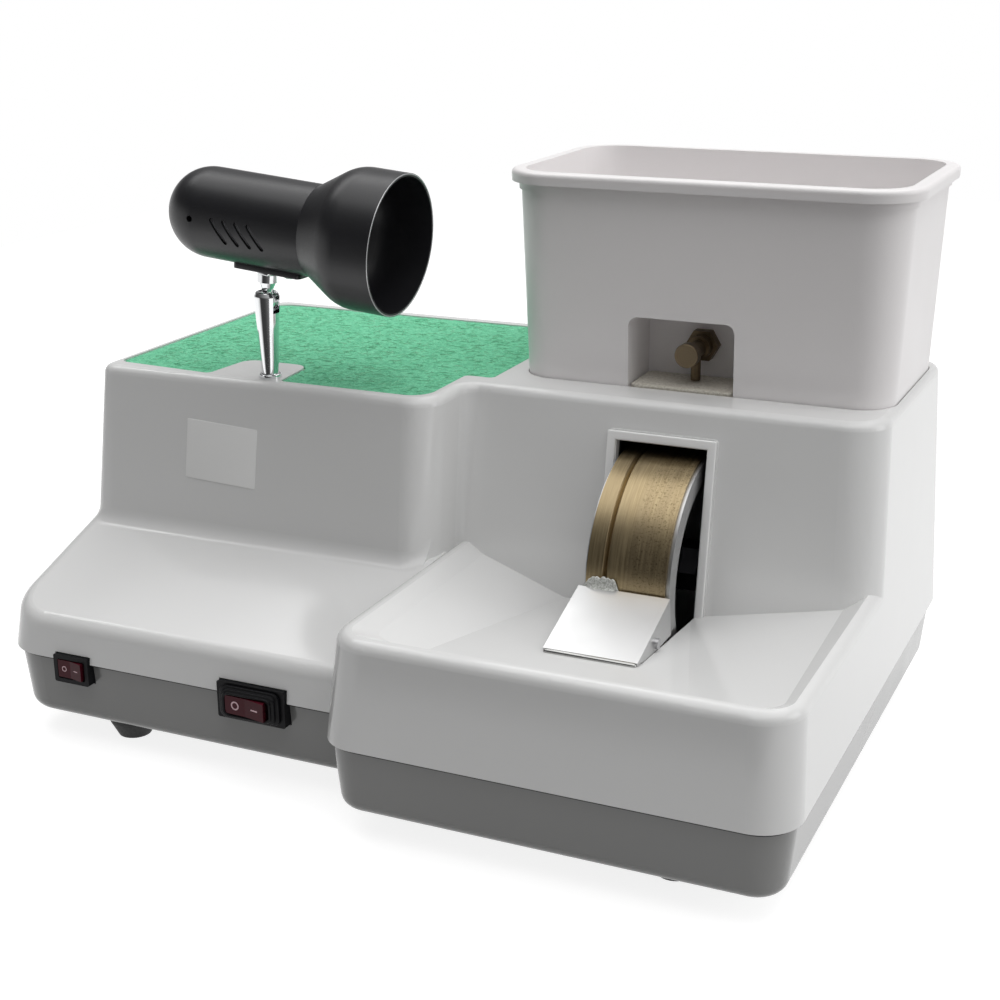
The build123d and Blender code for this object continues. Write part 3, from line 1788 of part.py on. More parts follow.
with BuildPart() as tap_body:
    with BuildSketch(tap_out.offset(-tap_tail)):
        Circle(tap_radius)
    extrude(amount=tap_tail + tap_nose)
    with BuildSketch(tap_out.offset(tap_nut_width)):
        Circle(tap_shoulder_radius)
    extrude(amount=tap_shoulder_width)
    with BuildSketch(Plane.XY.offset(spout_low)):
        with Locations((tap_x, spout_y)):
            Circle(spout_radius)
    extrude(amount=tap_height - spout_low)
    chamfer(tap_body.faces().sort_by(Axis.Y)[0].edges(), length=tap_chamfer)
    with BuildSketch(Plane.XY.offset(spout_low)):
        with Locations((tap_x, spout_y)):
            Circle(spout_bore)
    extrude(amount=tap_height - spout_low, mode=Mode.SUBTRACT)
    with BuildSketch(tap_out.offset(-tap_tail)):
        Circle(tap_bore)
    extrude(amount=tap_tail + spout_setback + tap_bore, mode=Mode.SUBTRACT)
    with BuildSketch(tap_out.offset(tap_nose - knob_stem_length)):
        Circle(knob_stem_radius + pin_gap)
    extrude(amount=knob_stem_length, mode=Mode.SUBTRACT)
tap_body.part.label = "tap_body"

with BuildPart() as tap_nut:
    with BuildSketch(tap_out):
        RegularPolygon(tap_nut_across / 2, 6, major_radius=False)
        Circle(tap_radius + pin_gap, mode=Mode.SUBTRACT)
    extrude(amount=tap_nut_width)
tap_nut.part.label = "tap_nut"

with BuildPart() as tap_washer:
    with BuildSketch(tap_in.offset(tank_wall)):
        Circle(tap_washer_radius)
        Circle(tap_radius + pin_gap, mode=Mode.SUBTRACT)
    extrude(amount=tap_washer_width)
tap_washer.part.label = "tap_washer"

with BuildPart() as tap_locknut:
    with BuildSketch(tap_in.offset(tank_wall + tap_washer_width)):
        RegularPolygon(tap_nut_across / 2, 6, major_radius=False)
        Circle(tap_radius + pin_gap, mode=Mode.SUBTRACT)
    extrude(amount=locknut_width)
tap_locknut.part.label = "tap_locknut"

with BuildPart() as tap_knob:
    with BuildSketch(tap_out.offset(tap_nose + knob_gap)):
        Circle(knob_radius)
    extrude(amount=knob_width)
    fillet(tap_knob.edges().filter_by(GeomType.CIRCLE), radius=knob_round)
    with BuildSketch(tap_out.offset(tap_nose - knob_stem_length + knob_gap)):
        Circle(knob_stem_radius)
    extrude(amount=knob_stem_length + knob_gap)
tap_knob.part.label = "tap_knob"

pad_front = front_y + tank_front + tank_taper
with BuildPart() as drip_pad:
    with BuildSketch(Plane.XY.offset(seat_height)):
        with Locations((notch_x, (pad_front + notch_back_y - pad_gap) / 2)):
            RectangleRounded(
                notch_width - 2 * pad_gap, notch_back_y - pad_gap - pad_front, pad_corner
            )
    extrude(amount=pad_height)
drip_pad.part.label = "drip_pad"


# Work mat in its recess
with BuildPart() as work_mat:
    with BuildSketch(Plane.XY.offset(top_height - mat_recess)):
        add(mat_outline(mat_gap))
    extrude(amount=mat_thick)
work_mat.part.label = "work_mat"


# Switches in the nose: frame, rocker and, on the motor switch, a raised boot
def front_box(place, height, width, tall, front, back):
    """A box in the nose between two depths, its long edges rounded."""
    with BuildPart() as block:
        with BuildSketch(across(back)):
            with Locations((left_x + place, height)):
                RectangleRounded(width, tall, bezel_round)
        extrude(amount=back - front)
    return block.part


def rocker(place, height, width, tall, front):
    """A rocker with two faces, its left end pressed in and its right end standing out."""
    middle = left_x + place
    half = width / 2
    pivot_y = front + rocker_depth / 2
    points = [
        (middle - half, front - rocker_proud),
        (middle, front),
        (middle + half, front - rocker_proud),
        (middle + half * rocker_back_share, pivot_y + rocker_depth / 4),
        (middle, pivot_y + rocker_depth / 2),
        (middle - half * rocker_back_share, pivot_y + rocker_depth / 4),
    ]
    with BuildPart() as flat_rocker:
        with BuildSketch(Plane.XY.offset(height - tall / 2)):
            with BuildLine():
                Polyline(*points, close=True)
            make_face()
        extrude(amount=tall)
    pivot = Axis((middle, pivot_y, 0), (0, 0, 1))
    return flat_rocker.part.rotate(pivot, -rocker_swing)


def switch_frame(place, height, width, tall, rocker_width, rocker_tall):
    """Flange and body of a switch, hollow behind its rocker."""
    front = nose_y - bezel_proud
    plate_back = front + switch_plate_depth
    body = front_box(place, height, width, tall, front, plate_back)
    well = front_box(
        place,
        height,
        rocker_width + 2 * rocker_gap,
        rocker_tall + 2 * rocker_gap,
        front,
        front + 2 * rocker_depth,
    )
    with BuildPart() as frame:
        add(body)
        add(
            front_box(
                place,
                height,
                width - 2 * switch_body_inset,
                tall - 2 * switch_body_inset,
                plate_back,
                front + switch_body_depth,
            )
        )
        add(well, mode=Mode.SUBTRACT)
    return frame.part


switch_front = nose_y - bezel_proud
lamp_rocker_width = lamp_switch_width - 2 * bezel_edge - 2 * rocker_gap
lamp_rocker_tall = lamp_switch_tall - 2 * bezel_edge - 2 * rocker_gap
motor_rocker_width = boot_width - 2 * bezel_edge - 2 * rocker_gap
motor_rocker_tall = boot_tall - 2 * bezel_edge - 2 * rocker_gap
boot_front = nose_y - boot_proud

with BuildPart() as lamp_switch_frame:
    add(
        switch_frame(
            lamp_switch_left,
            lamp_switch_height,
            lamp_switch_width,
            lamp_switch_tall,
            lamp_rocker_width,
            lamp_rocker_tall,
        )
    )
lamp_switch_frame.part.label = "lamp_switch_frame"

with BuildPart() as lamp_switch_rocker:
    add(
        rocker(
            lamp_switch_left,
            lamp_switch_height,
            lamp_rocker_width,
            lamp_rocker_tall,
            switch_front,
        )
    )
lamp_switch_rocker.part.label = "lamp_switch_rocker"

with BuildPart() as motor_switch_frame:
    add(
        switch_frame(
            motor_switch_left,
            motor_switch_height,
            motor_switch_width,
            motor_switch_tall,
            motor_rocker_width,
            motor_rocker_tall,
        )
    )
motor_switch_frame.part.label = "motor_switch_frame"

boot_middle = (boot_front + switch_front) / 2
with BuildPart() as motor_switch_boot:
    add(
        front_box(
            motor_switch_left,
            motor_switch_height,
            (boot_width + motor_switch_width) / 2,
            (boot_tall + motor_switch_tall) / 2,
            boot_middle,
            switch_front,
        )
    )
    add(
        front_box(
            motor_switch_left,
            motor_switch_height,
            boot_width,
            boot_tall,
            boot_front,
            boot_middle,
        )
    )
    add(
        front_box(
            motor_switch_left,
            motor_switch_height,
            motor_rocker_width + 2 * rocker_gap,
            motor_rocker_tall + 2 * rocker_gap,
            boot_front,
            switch_front,
        ),
        mode=Mode.SUBTRACT,
    )
motor_switch_boot.part.label = "motor_switch_boot"

with BuildPart() as motor_switch_rocker:
    add(
        rocker(
            motor_switch_left,
            motor_switch_height,
            motor_rocker_width,
            motor_rocker_tall,
            boot_front,
        )
    )
motor_switch_rocker.part.label = "motor_switch_rocker"


# One file for each piece
os.makedirs("parts", exist_ok=True)
export_step(upper_housing.part, "parts/upper_housing.step")
export_step(base_tray.part, "parts/base_tray.step")
export_step(rubber_feet.part, "parts/rubber_feet.step")
export_step(foot_screws.part, "parts/foot_screws.step")
export_step(case_screws.part, "parts/case_screws.step")
export_step(cable_gland.part, "parts/cable_gland.step")
export_step(gland_nut.part, "parts/gland_nut.step")
export_step(motor_shaft.part, "parts/motor_shaft.step")
export_step(wheel_flange.part, "parts/wheel_flange.step")
export_step(wheel_hub.part, "parts/wheel_hub.step")
export_step(wheel_rim.part, "parts/wheel_rim.step")
export_step(wheel_washer.part, "parts/wheel_washer.step")
export_step(wheel_nut.part, "parts/wheel_nut.step")
export_step(end_bell_drive.part, "parts/end_bell_drive.step")
export_step(end_bell_rear.part, "parts/end_bell_rear.step")
export_step(bearing_drive.part, "parts/bearing_drive.step")
export_step(bearing_rear.part, "parts/bearing_rear.step")
export_step(motor_shell.part, "parts/motor_shell.step")
export_step(motor_stator.part, "parts/motor_stator.step")
export_step(motor_windings.part, "parts/motor_windings.step")
export_step(rotor_core.part, "parts/rotor_core.step")
export_step(cooling_fan.part, "parts/cooling_fan.step")
export_step(fan_cowl.part, "parts/fan_cowl.step")
export_step(motor_cradle.part, "parts/motor_cradle.step")
export_step(cradle_bolts.part, "parts/cradle_bolts.step")
export_step(run_capacitor.part, "parts/run_capacitor.step")
export_step(splash_box.part, "parts/splash_box.step")
export_step(shaft_seal.part, "parts/shaft_seal.step")
export_step(drain_spout.part, "parts/drain_spout.step")
export_step(splash_guard.part, "parts/splash_guard.step")
export_step(guard_screws.part, "parts/guard_screws.step")
export_step(wiper_sponge.part, "parts/wiper_sponge.step")
export_step(post_washer.part, "parts/post_washer.step")
export_step(lamp_post.part, "parts/lamp_post.step")
export_step(post_nut.part, "parts/post_nut.step")
export_step(ball_neck.part, "parts/ball_neck.step")
export_step(lamp_bracket.part, "parts/lamp_bracket.step")
export_step(bracket_screw.part, "parts/bracket_screw.step")
export_step(lamp_body.part, "parts/lamp_body.step")
export_step(lamp_shade.part, "parts/lamp_shade.step")
export_step(lamp_socket.part, "parts/lamp_socket.step")
export_step(lamp_bulb.part, "parts/lamp_bulb.step")
export_step(water_tank.part, "parts/water_tank.step")
export_step(tap_body.part, "parts/tap_body.step")
export_step(tap_nut.part, "parts/tap_nut.step")
export_step(tap_washer.part, "parts/tap_washer.step")
export_step(tap_locknut.part, "parts/tap_locknut.step")
export_step(tap_knob.part, "parts/tap_knob.step")
export_step(drip_pad.part, "parts/drip_pad.step")
export_step(work_mat.part, "parts/work_mat.step")
export_step(lamp_switch_frame.part, "parts/lamp_switch_frame.step")
export_step(lamp_switch_rocker.part, "parts/lamp_switch_rocker.step")
export_step(motor_switch_frame.part, "parts/motor_switch_frame.step")
export_step(motor_switch_boot.part, "parts/motor_switch_boot.step")
export_step(motor_switch_rocker.part, "parts/motor_switch_rocker.step")
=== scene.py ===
# %% [markdown]
# # A bench machine for edging spectacle lenses
#
# The real thing is a moulded white case on a grey base tray, with a bronze grinding wheel in a slot, a
# lamp on a chrome post, a green work mat and a lift-off water tank with a small brass tap. The moving
# and load-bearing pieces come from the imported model, which is loaded as a fixed frame. This script gives
# them their finishes, and adds the soft and printed pieces that solid modelling leaves plain.

from math import cos, pi, radians, sin
from random import Random

import bpy
from mathutils import Matrix, Vector
from mathutils import noise as turbulence


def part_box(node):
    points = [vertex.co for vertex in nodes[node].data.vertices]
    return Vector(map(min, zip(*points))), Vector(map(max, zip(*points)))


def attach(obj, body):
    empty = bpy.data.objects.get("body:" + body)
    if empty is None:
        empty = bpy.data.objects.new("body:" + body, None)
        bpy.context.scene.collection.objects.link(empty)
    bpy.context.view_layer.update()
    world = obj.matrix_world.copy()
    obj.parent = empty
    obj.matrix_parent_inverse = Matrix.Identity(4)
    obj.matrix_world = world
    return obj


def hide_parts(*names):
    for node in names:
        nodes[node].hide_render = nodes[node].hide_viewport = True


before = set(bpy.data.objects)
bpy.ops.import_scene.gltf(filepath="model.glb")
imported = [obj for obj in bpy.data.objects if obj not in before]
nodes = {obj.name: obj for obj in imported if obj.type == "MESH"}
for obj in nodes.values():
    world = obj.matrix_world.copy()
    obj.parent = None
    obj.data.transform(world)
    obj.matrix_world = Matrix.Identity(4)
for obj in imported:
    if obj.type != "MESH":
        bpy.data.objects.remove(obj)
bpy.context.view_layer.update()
mm = 0.001

# %% [markdown]
# ## The camera
#
# The camera stands 0.9 m away, to the right of the machine and a little above it. Its place was worked
# out from the straight edges of the case, so here it is only written down: a place, three angles and a
# focal length. A fairly long lens keeps the upright edges nearly parallel.

# %% Camera
camera_data = bpy.data.cameras.new("camera")
camera = bpy.data.objects.new("camera", camera_data)
bpy.context.scene.collection.objects.link(camera)
bpy.context.scene.camera = camera
camera_data.sensor_width = 36
camera_data.lens = 61.83

camera_place = Vector((364.8, -762.5, 399.8)) * mm
camera_turn, camera_dip, camera_roll = radians(24.57), radians(18.33), radians(-0.43)
camera.matrix_world = (
    Matrix.Translation(camera_place)
    @ Matrix.Rotation(camera_turn, 4, "Z")
    @ Matrix.Rotation(pi / 2 - camera_dip, 4, "X")
    @ Matrix.Rotation(camera_roll, 4, "Z")
)
print("camera at", [round(value, 3) for value in camera_place])

# %% [markdown]
# ## Floor and light
#
# The machine stands on white paper. The camera and glass see plain white behind it, and so do mirrors
# that look along the floor, but not towards the front, where a dim room gives polished metal its
# contrast. For all other light the world is a soft grey that is brightest high on the right, where a
# studio window would be. So the front faces stay in a soft shade and their rounded edges catch a bright
# line. Two large panels, beside and above, do most of the lighting, and a narrow strip behind gives the
# upper edges of the case their thin bright lines.

# %% Helpers for light and shader nodes
def link(tree, output, socket):
    """Joins an output of one node to an input of another."""
    tree.links.new(output, socket)


def arithmetic(tree, operation, first, second):
    """One sum on two values, each a number or an output."""
    node = tree.nodes.new("ShaderNodeMath")
    node.operation = operation
    for socket, value in zip(node.inputs, (first, second)):
        if isinstance(value, (int, float)):
            socket.default_value = value
        else:
            link(tree, value, socket)
    return node.outputs[0]


def seen_or_lit(tree, seen, lit, mirrored=1.0):
    """A shader with one look for the camera, glass and mirrors, and another for light itself."""
    path = tree.nodes.new("ShaderNodeLightPath")
    direct = arithmetic(
        tree, "MAXIMUM", path.outputs["Is Camera Ray"], path.outputs["Is Transmission Ray"]
    )
    glossy = arithmetic(tree, "MULTIPLY", path.outputs["Is Glossy Ray"], mirrored)
    mix = tree.nodes.new("ShaderNodeMixShader")
    link(tree, arithmetic(tree, "MAXIMUM", direct, glossy), mix.inputs[0])
    link(tree, lit, mix.inputs[1])
    link(tree, seen, mix.inputs[2])
    return mix.outputs[0]


def ranged(tree, value, from_low, from_high, low=0.0, high=1.0):
    """A value moved from one range to another."""
    node = tree.nodes.new("ShaderNodeMapRange")
    node.inputs["From Min"].default_value = from_low
    node.inputs["From Max"].default_value = from_high
    node.inputs["To Min"].default_value = low
    node.inputs["To Max"].default_value = high
    link(tree, value, node.inputs["Value"])
    return node.outputs["Result"]


def towards(tree, direction, aim):
    """How far a direction points the same way as another, from -1 to 1."""
    node = tree.nodes.new("ShaderNodeVectorMath")
    node.operation = "DOT_PRODUCT"
    node.inputs[1].default_value = aim
    link(tree, direction, node.inputs[0])
    return node.outputs["Value"]


print("light helpers ready")

# %% World
world = bpy.data.worlds.new("studio")
bpy.context.scene.world = world
world.use_nodes = True
tree = world.node_tree
tree.nodes.clear()
direction = tree.nodes.new("ShaderNodeTexCoord").outputs["Generated"]
white = tree.nodes.new("ShaderNodeBackground")
white.inputs["Color"].default_value = (1, 1, 1, 1)

window_side = towards(tree, direction, (0.62, 0.42, 0.66))
strength = ranged(tree, window_side, -0.6, 0.9, 0.06, 0.62)
strength.node.interpolation_type = "SMOOTHSTEP"
soft = tree.nodes.new("ShaderNodeBackground")
link(tree, strength, soft.inputs["Strength"])

height = tree.nodes.new("ShaderNodeSeparateXYZ")
link(tree, direction, height.inputs[0])
near_floor = ranged(tree, height.outputs["Z"], 0.25, 0.0)
front_side = towards(tree, direction, (0.42, -0.91, 0.0))
not_in_front = ranged(tree, front_side, 0.35, 0.6, 1.0, 0.0)
backdrop = arithmetic(tree, "MULTIPLY", near_floor, not_in_front)
world_out = tree.nodes.new("ShaderNodeOutputWorld")
look = seen_or_lit(tree, white.outputs[0], soft.outputs[0], backdrop)
link(tree, look, world_out.inputs[0])
bpy.context.scene.view_settings.view_transform = "Standard"
print("world ready")

# %% [markdown]
# The paper has two looks as well. Light that falls on it bounces back as from light grey paper. What
# the camera sees is mostly plain white, with a share of the true lighting left in, so that the soft
# shadow under the machine stays.

# %% Floor
paper_side, paper_back = 2.4, 0.75
bpy.ops.mesh.primitive_plane_add(size=paper_side, location=(0, paper_back, 0))
floor = bpy.context.object
floor.name = "paper_floor"
paper = bpy.data.materials.new("white_paper")
paper.use_nodes = True
tree = paper.node_tree
grey = tree.nodes["Principled BSDF"]
grey.inputs["Base Color"].default_value = (0.44, 0.44, 0.44, 1)
grey.inputs["Roughness"].default_value = 1.0
grey.inputs["Specular IOR Level"].default_value = 0.0
plain_white = tree.nodes.new("ShaderNodeEmission")
plain_white.inputs["Strength"].default_value = 0.84
shaded = tree.nodes.new("ShaderNodeBsdfDiffuse")
shaded.inputs["Color"].default_value = (0.42, 0.42, 0.42, 1)
seen = tree.nodes.new("ShaderNodeAddShader")
link(tree, plain_white.outputs[0], seen.inputs[0])
link(tree, shaded.outputs[0], seen.inputs[1])
look = seen_or_lit(tree, seen.outputs[0], grey.outputs[0])
link(tree, look, tree.nodes["Material Output"].inputs["Surface"])
floor.data.materials.append(paper)
print("floor ready")

# %% Lights
def panel(name, place, width, depth, power):
    """A soft rectangular light that faces the middle of the machine."""
    data = bpy.data.lights.new(name, "AREA")
    data.shape = "RECTANGLE"
    data.size = width
    data.size_y = depth
    data.energy = power
    lamp = bpy.data.objects.new(name, data)
    lamp.location = place
    lamp.rotation_euler = (machine_middle - Vector(place)).to_track_quat("-Z", "Y").to_euler()
    bpy.context.scene.collection.objects.link(lamp)


machine_middle = Vector((0, 0, 0.12))
panel("window", place=(1.6, 0.35, 0.7), width=0.9, depth=0.9, power=4.8)
panel("overhead", place=(0.05, 0.05, 1.5), width=2.4, depth=2.0, power=21)
panel("strip", place=(-0.55, 0.5, 1.25), width=1.6, depth=0.12, power=1.8)
print("lights:", [light.name for light in bpy.data.lights])

# %% [markdown]
# ## Finishes
#
# Every finish is made from the same few bricks: a base colour, a fine noise that moves the colour and the
# gloss a little, and a bump at the scale of the real texture. Places are read from the object's own
# coordinates, in metres, so a texture keeps its real size and stays put when a piece moves.

# %% Helpers for finishes
def finish(name, colour, roughness, metallic=0.0, **sockets):
    """A new material with its constants set on the shader itself."""
    material = bpy.data.materials.new(name)
    material.use_nodes = True
    shader = material.node_tree.nodes["Principled BSDF"]
    shader.inputs["Base Color"].default_value = (*colour, 1)
    shader.inputs["Roughness"].default_value = roughness
    shader.inputs["Metallic"].default_value = metallic
    for socket, value in sockets.items():
        shader.inputs[socket.replace("_", " ")].default_value = value
    return material


def places(material, centre=(0, 0, 0), stretch=(1, 1, 1)):
    """The object's coordinates, measured from a centre and stretched along each axis."""
    tree = material.node_tree
    coordinates = tree.nodes.new("ShaderNodeTexCoord")
    mapping = tree.nodes.new("ShaderNodeMapping")
    mapping.vector_type = "POINT"
    mapping.inputs["Location"].default_value = [-c * s for c, s in zip(centre, stretch)]
    mapping.inputs["Scale"].default_value = stretch
    link(tree, coordinates.outputs["Object"], mapping.inputs["Vector"])
    return mapping.outputs["Vector"]


def noise(material, size, where=None, detail=2.0, roughness=0.5):
    """Cloudy noise whose lumps are about a given size in metres, as a value around one half."""
    tree = material.node_tree
    texture = tree.nodes.new("ShaderNodeTexNoise")
    texture.inputs["Scale"].default_value = 1 / size
    texture.inputs["Detail"].default_value = detail
    texture.inputs["Roughness"].default_value = roughness
    link(tree, places(material) if where is None else where, texture.inputs["Vector"])
    return texture.outputs["Fac"]


print("finish helpers ready")

# %% Helpers for mixing noise into a finish
def spread(material, value, low, high, from_low=0.3, from_high=0.7):
    """Noise, which keeps near one half, moved to another range."""
    return ranged(material.node_tree, value, from_low, from_high, low, high)


def blend(material, share, first, second):
    """A colour between two others."""
    tree = material.node_tree
    node = tree.nodes.new("ShaderNodeMix")
    node.data_type = "RGBA"
    link(tree, share, node.inputs["Factor"])
    for socket, colour in (("A", first), ("B", second)):
        slots = [item for item in node.inputs if item.name == socket and item.type == "RGBA"]
        if isinstance(colour, tuple):
            slots[0].default_value = (*colour, 1)
        else:
            link(tree, colour, slots[0])
    return [item for item in node.outputs if item.type == "RGBA"][0]


def set_input(material, socket, value):
    """Joins a worked-out value or colour to the shader."""
    link(material.node_tree, value, material.node_tree.nodes["Principled BSDF"].inputs[socket])


def bump(material, height, depth, strength=1.0):
    """Relief of a given depth in metres on top of any relief that is there."""
    tree = material.node_tree
    node = tree.nodes.new("ShaderNodeBump")
    node.inputs["Strength"].default_value = strength
    node.inputs["Distance"].default_value = depth
    link(tree, height, node.inputs["Height"])
    normal = tree.nodes["Principled BSDF"].inputs["Normal"]
    if normal.is_linked:
        link(tree, normal.links[0].from_socket, node.inputs["Normal"])
    link(tree, node.outputs["Normal"], normal)


print("mixing helpers ready")

# %% [markdown]
# The case is white, the tray under it grey, and the tank a slightly warmer, less glossy white. All three
# come out of a polished mould, so they differ in colour and gloss only. Black plastic, rubber and paint
# have a fine grain instead. The switches reflect less than the rest and so stay nearly black.

# %% Moulded plastics
def moulded(name, colour, gloss):
    """Glossy moulded plastic: even colour, faint clouding, a little orange peel."""
    material = finish(name, colour, gloss, IOR=1.5)
    darker = tuple(c * 0.97 for c in colour)
    set_input(material, "Base Color", blend(material, noise(material, 90 * mm), darker, colour))
    smears = noise(material, 30 * mm, detail=3.0)
    set_input(material, "Roughness", spread(material, smears, gloss * 0.9, gloss * 1.1))
    bump(material, noise(material, 6 * mm, detail=0.0), 0.02 * mm, 0.12)
    return material


def grained(name, colour, roughness, size=0.6 * mm, depth=0.04 * mm):
    """A fine even grain, as on black plastic, rubber or powder paint."""
    material = finish(name, colour, roughness)
    grain = noise(material, size, detail=3.0)
    lighter = tuple(min(1.0, c * 1.25 + 0.003) for c in colour)
    set_input(material, "Base Color", blend(material, noise(material, 20 * mm), colour, lighter))
    set_input(material, "Roughness", spread(material, grain, roughness * 0.9, roughness * 1.15))
    bump(material, grain, depth, 0.5)
    return material


shell_white = moulded("shell_white", (0.80, 0.80, 0.795), 0.14)
base_grey = moulded("base_grey", (0.26, 0.26, 0.255), 0.17)
tank_white = moulded("tank_white", (0.90, 0.875, 0.875), 0.33)
black_moulded = grained("black_moulded", (0.014, 0.014, 0.016), 0.34)
box_black = grained("box_black", (0.006, 0.006, 0.007), 0.4)
boot_black = grained("boot_black", (0.006, 0.006, 0.007), 0.32)
rocker_red = moulded("rocker_red", (0.075, 0.008, 0.015), 0.2)
lamp_paint = grained("lamp_paint", (0.010, 0.010, 0.012), 0.34, size=0.9 * mm, depth=0.02 * mm)
motor_paint = grained("motor_paint", (0.09, 0.10, 0.12), 0.4)
rubber = grained("rubber", (0.018, 0.018, 0.018), 0.62, size=1.2 * mm, depth=0.08 * mm)
switch_reflection = 0.12
for material in (box_black, boot_black, rocker_red):
    shader = material.node_tree.nodes["Principled BSDF"]
    shader.inputs["Specular IOR Level"].default_value = switch_reflection
print("plastics and paint ready")

# %% [markdown]
# Polished metal shows its shape only through what it reflects, so it needs a clean, nearly smooth
# surface with a few faint smears. What comes from a lathe is the same metal with fine rings.

# %% Metals
def metal(name, colour, roughness, smear=0.03):
    """Bare metal whose gloss varies a little, as where it has been touched."""
    material = finish(name, colour, roughness, 1.0)
    smears = noise(material, 12 * mm)
    set_input(material, "Roughness", spread(material, smears, roughness, roughness + smear))
    return material


def turned(material, centre, along, pitch, depth):
    """Fine rings left by a lathe round an axis through a point, along X, Y or Z."""
    tree = material.node_tree
    stretch = [0 if axis == along else 1 for axis in "XYZ"]
    radius = tree.nodes.new("ShaderNodeVectorMath")
    radius.operation = "LENGTH"
    link(tree, places(material, centre, stretch), radius.inputs[0])
    turns = arithmetic(tree, "MULTIPLY", radius.outputs["Value"], 2 * pi / pitch)
    bump(material, arithmetic(tree, "SINE", turns, 0.0), depth, 0.6)


chrome = metal("chrome", (0.80, 0.81, 0.82), 0.05)
steel = metal("steel", (0.55, 0.55, 0.56), 0.3, 0.1)
cast_alloy = metal("cast_alloy", (0.62, 0.62, 0.63), 0.42, 0.12)
blackened = metal("blackened_steel", (0.045, 0.045, 0.05), 0.32, 0.1)
copper = metal("copper", (0.60, 0.26, 0.12), 0.35)
guard_steel = metal("guard_steel", (0.62, 0.62, 0.62), 0.29, 0.04)
bump(guard_steel, noise(guard_steel, 30 * mm, detail=0.0), 0.2 * mm, 0.1)
aged_brass = metal("aged_brass", (0.20, 0.15, 0.09), 0.34, 0.18)
tarnish = noise(aged_brass, 4 * mm, detail=4.0)
set_input(aged_brass, "Base Color", blend(aged_brass, tarnish, (0.11, 0.08, 0.05), (0.24, 0.18, 0.11)))
knob_low, knob_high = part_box("tap_knob")
knob_brass = metal("knob_brass", (0.22, 0.17, 0.11), 0.29, 0.1)
turned(knob_brass, (knob_low + knob_high) / 2, "Y", 1.1 * mm, 0.04 * mm)
print("metals ready; the knob's rings lie round", [round(c, 4) for c in (knob_low + knob_high) / 2])

# %% [markdown]
# The wheel is sintered bronze full of diamond grit. Grinding leaves rings round the rim, so the noise is
# squeezed along the axle and stretched round it. The right half carries a coarser grit, which shows as
# dark specks.

# %% The bronze of the wheel
rim_low, rim_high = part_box("wheel_rim")
axle = (rim_low + rim_high) / 2
wheel_bronze = finish("wheel_bronze", (0.36, 0.28, 0.16), 0.42, 1.0)
rings = noise(wheel_bronze, 1.0, places(wheel_bronze, axle, (1500, 60, 60)), detail=3.0)
broad = noise(wheel_bronze, 1.0, places(wheel_bronze, axle, (140, 25, 25)), detail=1.0)
specks = noise(wheel_bronze, 1.1 * mm, detail=4.0, roughness=0.7)
tree = wheel_bronze.node_tree
side = tree.nodes.new("ShaderNodeSeparateXYZ")
link(tree, places(wheel_bronze, axle), side.inputs[0])
right_half = spread(wheel_bronze, side.outputs["X"], 0.0, 1.0, -2 * mm, 4 * mm)
strong_specks = spread(wheel_bronze, specks, 0.0, 1.0, 0.52, 0.66)
speck_share = arithmetic(tree, "MULTIPLY", strong_specks, right_half)
bronze = blend(wheel_bronze, spread(wheel_bronze, rings, 0, 1), (0.30, 0.23, 0.13), (0.45, 0.36, 0.215))
bronze = blend(wheel_bronze, spread(wheel_bronze, broad, 0, 0.6), bronze, (0.30, 0.235, 0.145))
bronze = blend(wheel_bronze, speck_share, bronze, (0.19, 0.145, 0.08))
set_input(wheel_bronze, "Base Color", bronze)
set_input(wheel_bronze, "Roughness", spread(wheel_bronze, rings, 0.29, 0.38))
bump(wheel_bronze, rings, 0.03 * mm, 0.25)
bump(wheel_bronze, specks, 0.05 * mm, 0.3)
plate_steel = metal("plate_steel", (0.50, 0.50, 0.50), 0.3, 0.1)
turned(plate_steel, axle, "X", 1.5 * mm, 0.001 * mm)
print("wheel finish centred on the axle at", [round(c, 4) for c in axle])

# %% [markdown]
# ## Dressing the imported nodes
#
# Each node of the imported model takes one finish, by name. The nodes come as loose triangles with their
# own normals, so only their material slots are filled and their meshes stay as they are.

# %% Finishes of the nodes
dress = {
    shell_white: "upper_housing",
    base_grey: "base_tray",
    tank_white: "water_tank",
    rubber: "rubber_feet shaft_seal tap_washer",
    black_moulded: "cable_gland gland_nut splash_box drain_spout cooling_fan lamp_socket run_capacitor",
    box_black: "lamp_switch_frame motor_switch_frame",
    boot_black: "motor_switch_boot",
    rocker_red: "lamp_switch_rocker motor_switch_rocker",
    lamp_paint: "lamp_body lamp_shade lamp_bracket",
    chrome: "lamp_post ball_neck bracket_screw post_washer",
    guard_steel: "splash_guard",
    steel: "foot_screws case_screws bearing_drive bearing_rear motor_stator cradle_bolts guard_screws "
    "motor_shaft wheel_flange rotor_core post_nut",
    blackened: "wheel_washer wheel_nut",
    cast_alloy: "end_bell_drive end_bell_rear motor_cradle",
    copper: "motor_windings",
    wheel_bronze: "wheel_rim",
    plate_steel: "wheel_hub",
    aged_brass: "tap_body tap_nut tap_locknut",
    knob_brass: "tap_knob",
    motor_paint: "motor_shell fan_cowl",
}
for material, names in dress.items():
    for name in names.split():
        mesh = nodes[name].data
        mesh.materials.clear()
        mesh.materials.append(material)
print("dressed", sum(len(names.split()) for names in dress.values()), "of", len(nodes), "nodes")

# %% [markdown]
# The bulb sits deep in the shade. Its glass is frosted on the inside, which scatters light: rough
# transmission with a milky tint does this at no cost.

# %% Frosted glass of the bulb
frosted = finish("frosted_glass", (0.90, 0.90, 0.88), 0.55, IOR=1.45, Transmission_Weight=0.55)
set_input(frosted, "Roughness", spread(frosted, noise(frosted, 3 * mm), 0.5, 0.65))
bulb = nodes["lamp_bulb"].data
bulb.materials.clear()
bulb.materials.append(frosted)
print("bulb dressed")

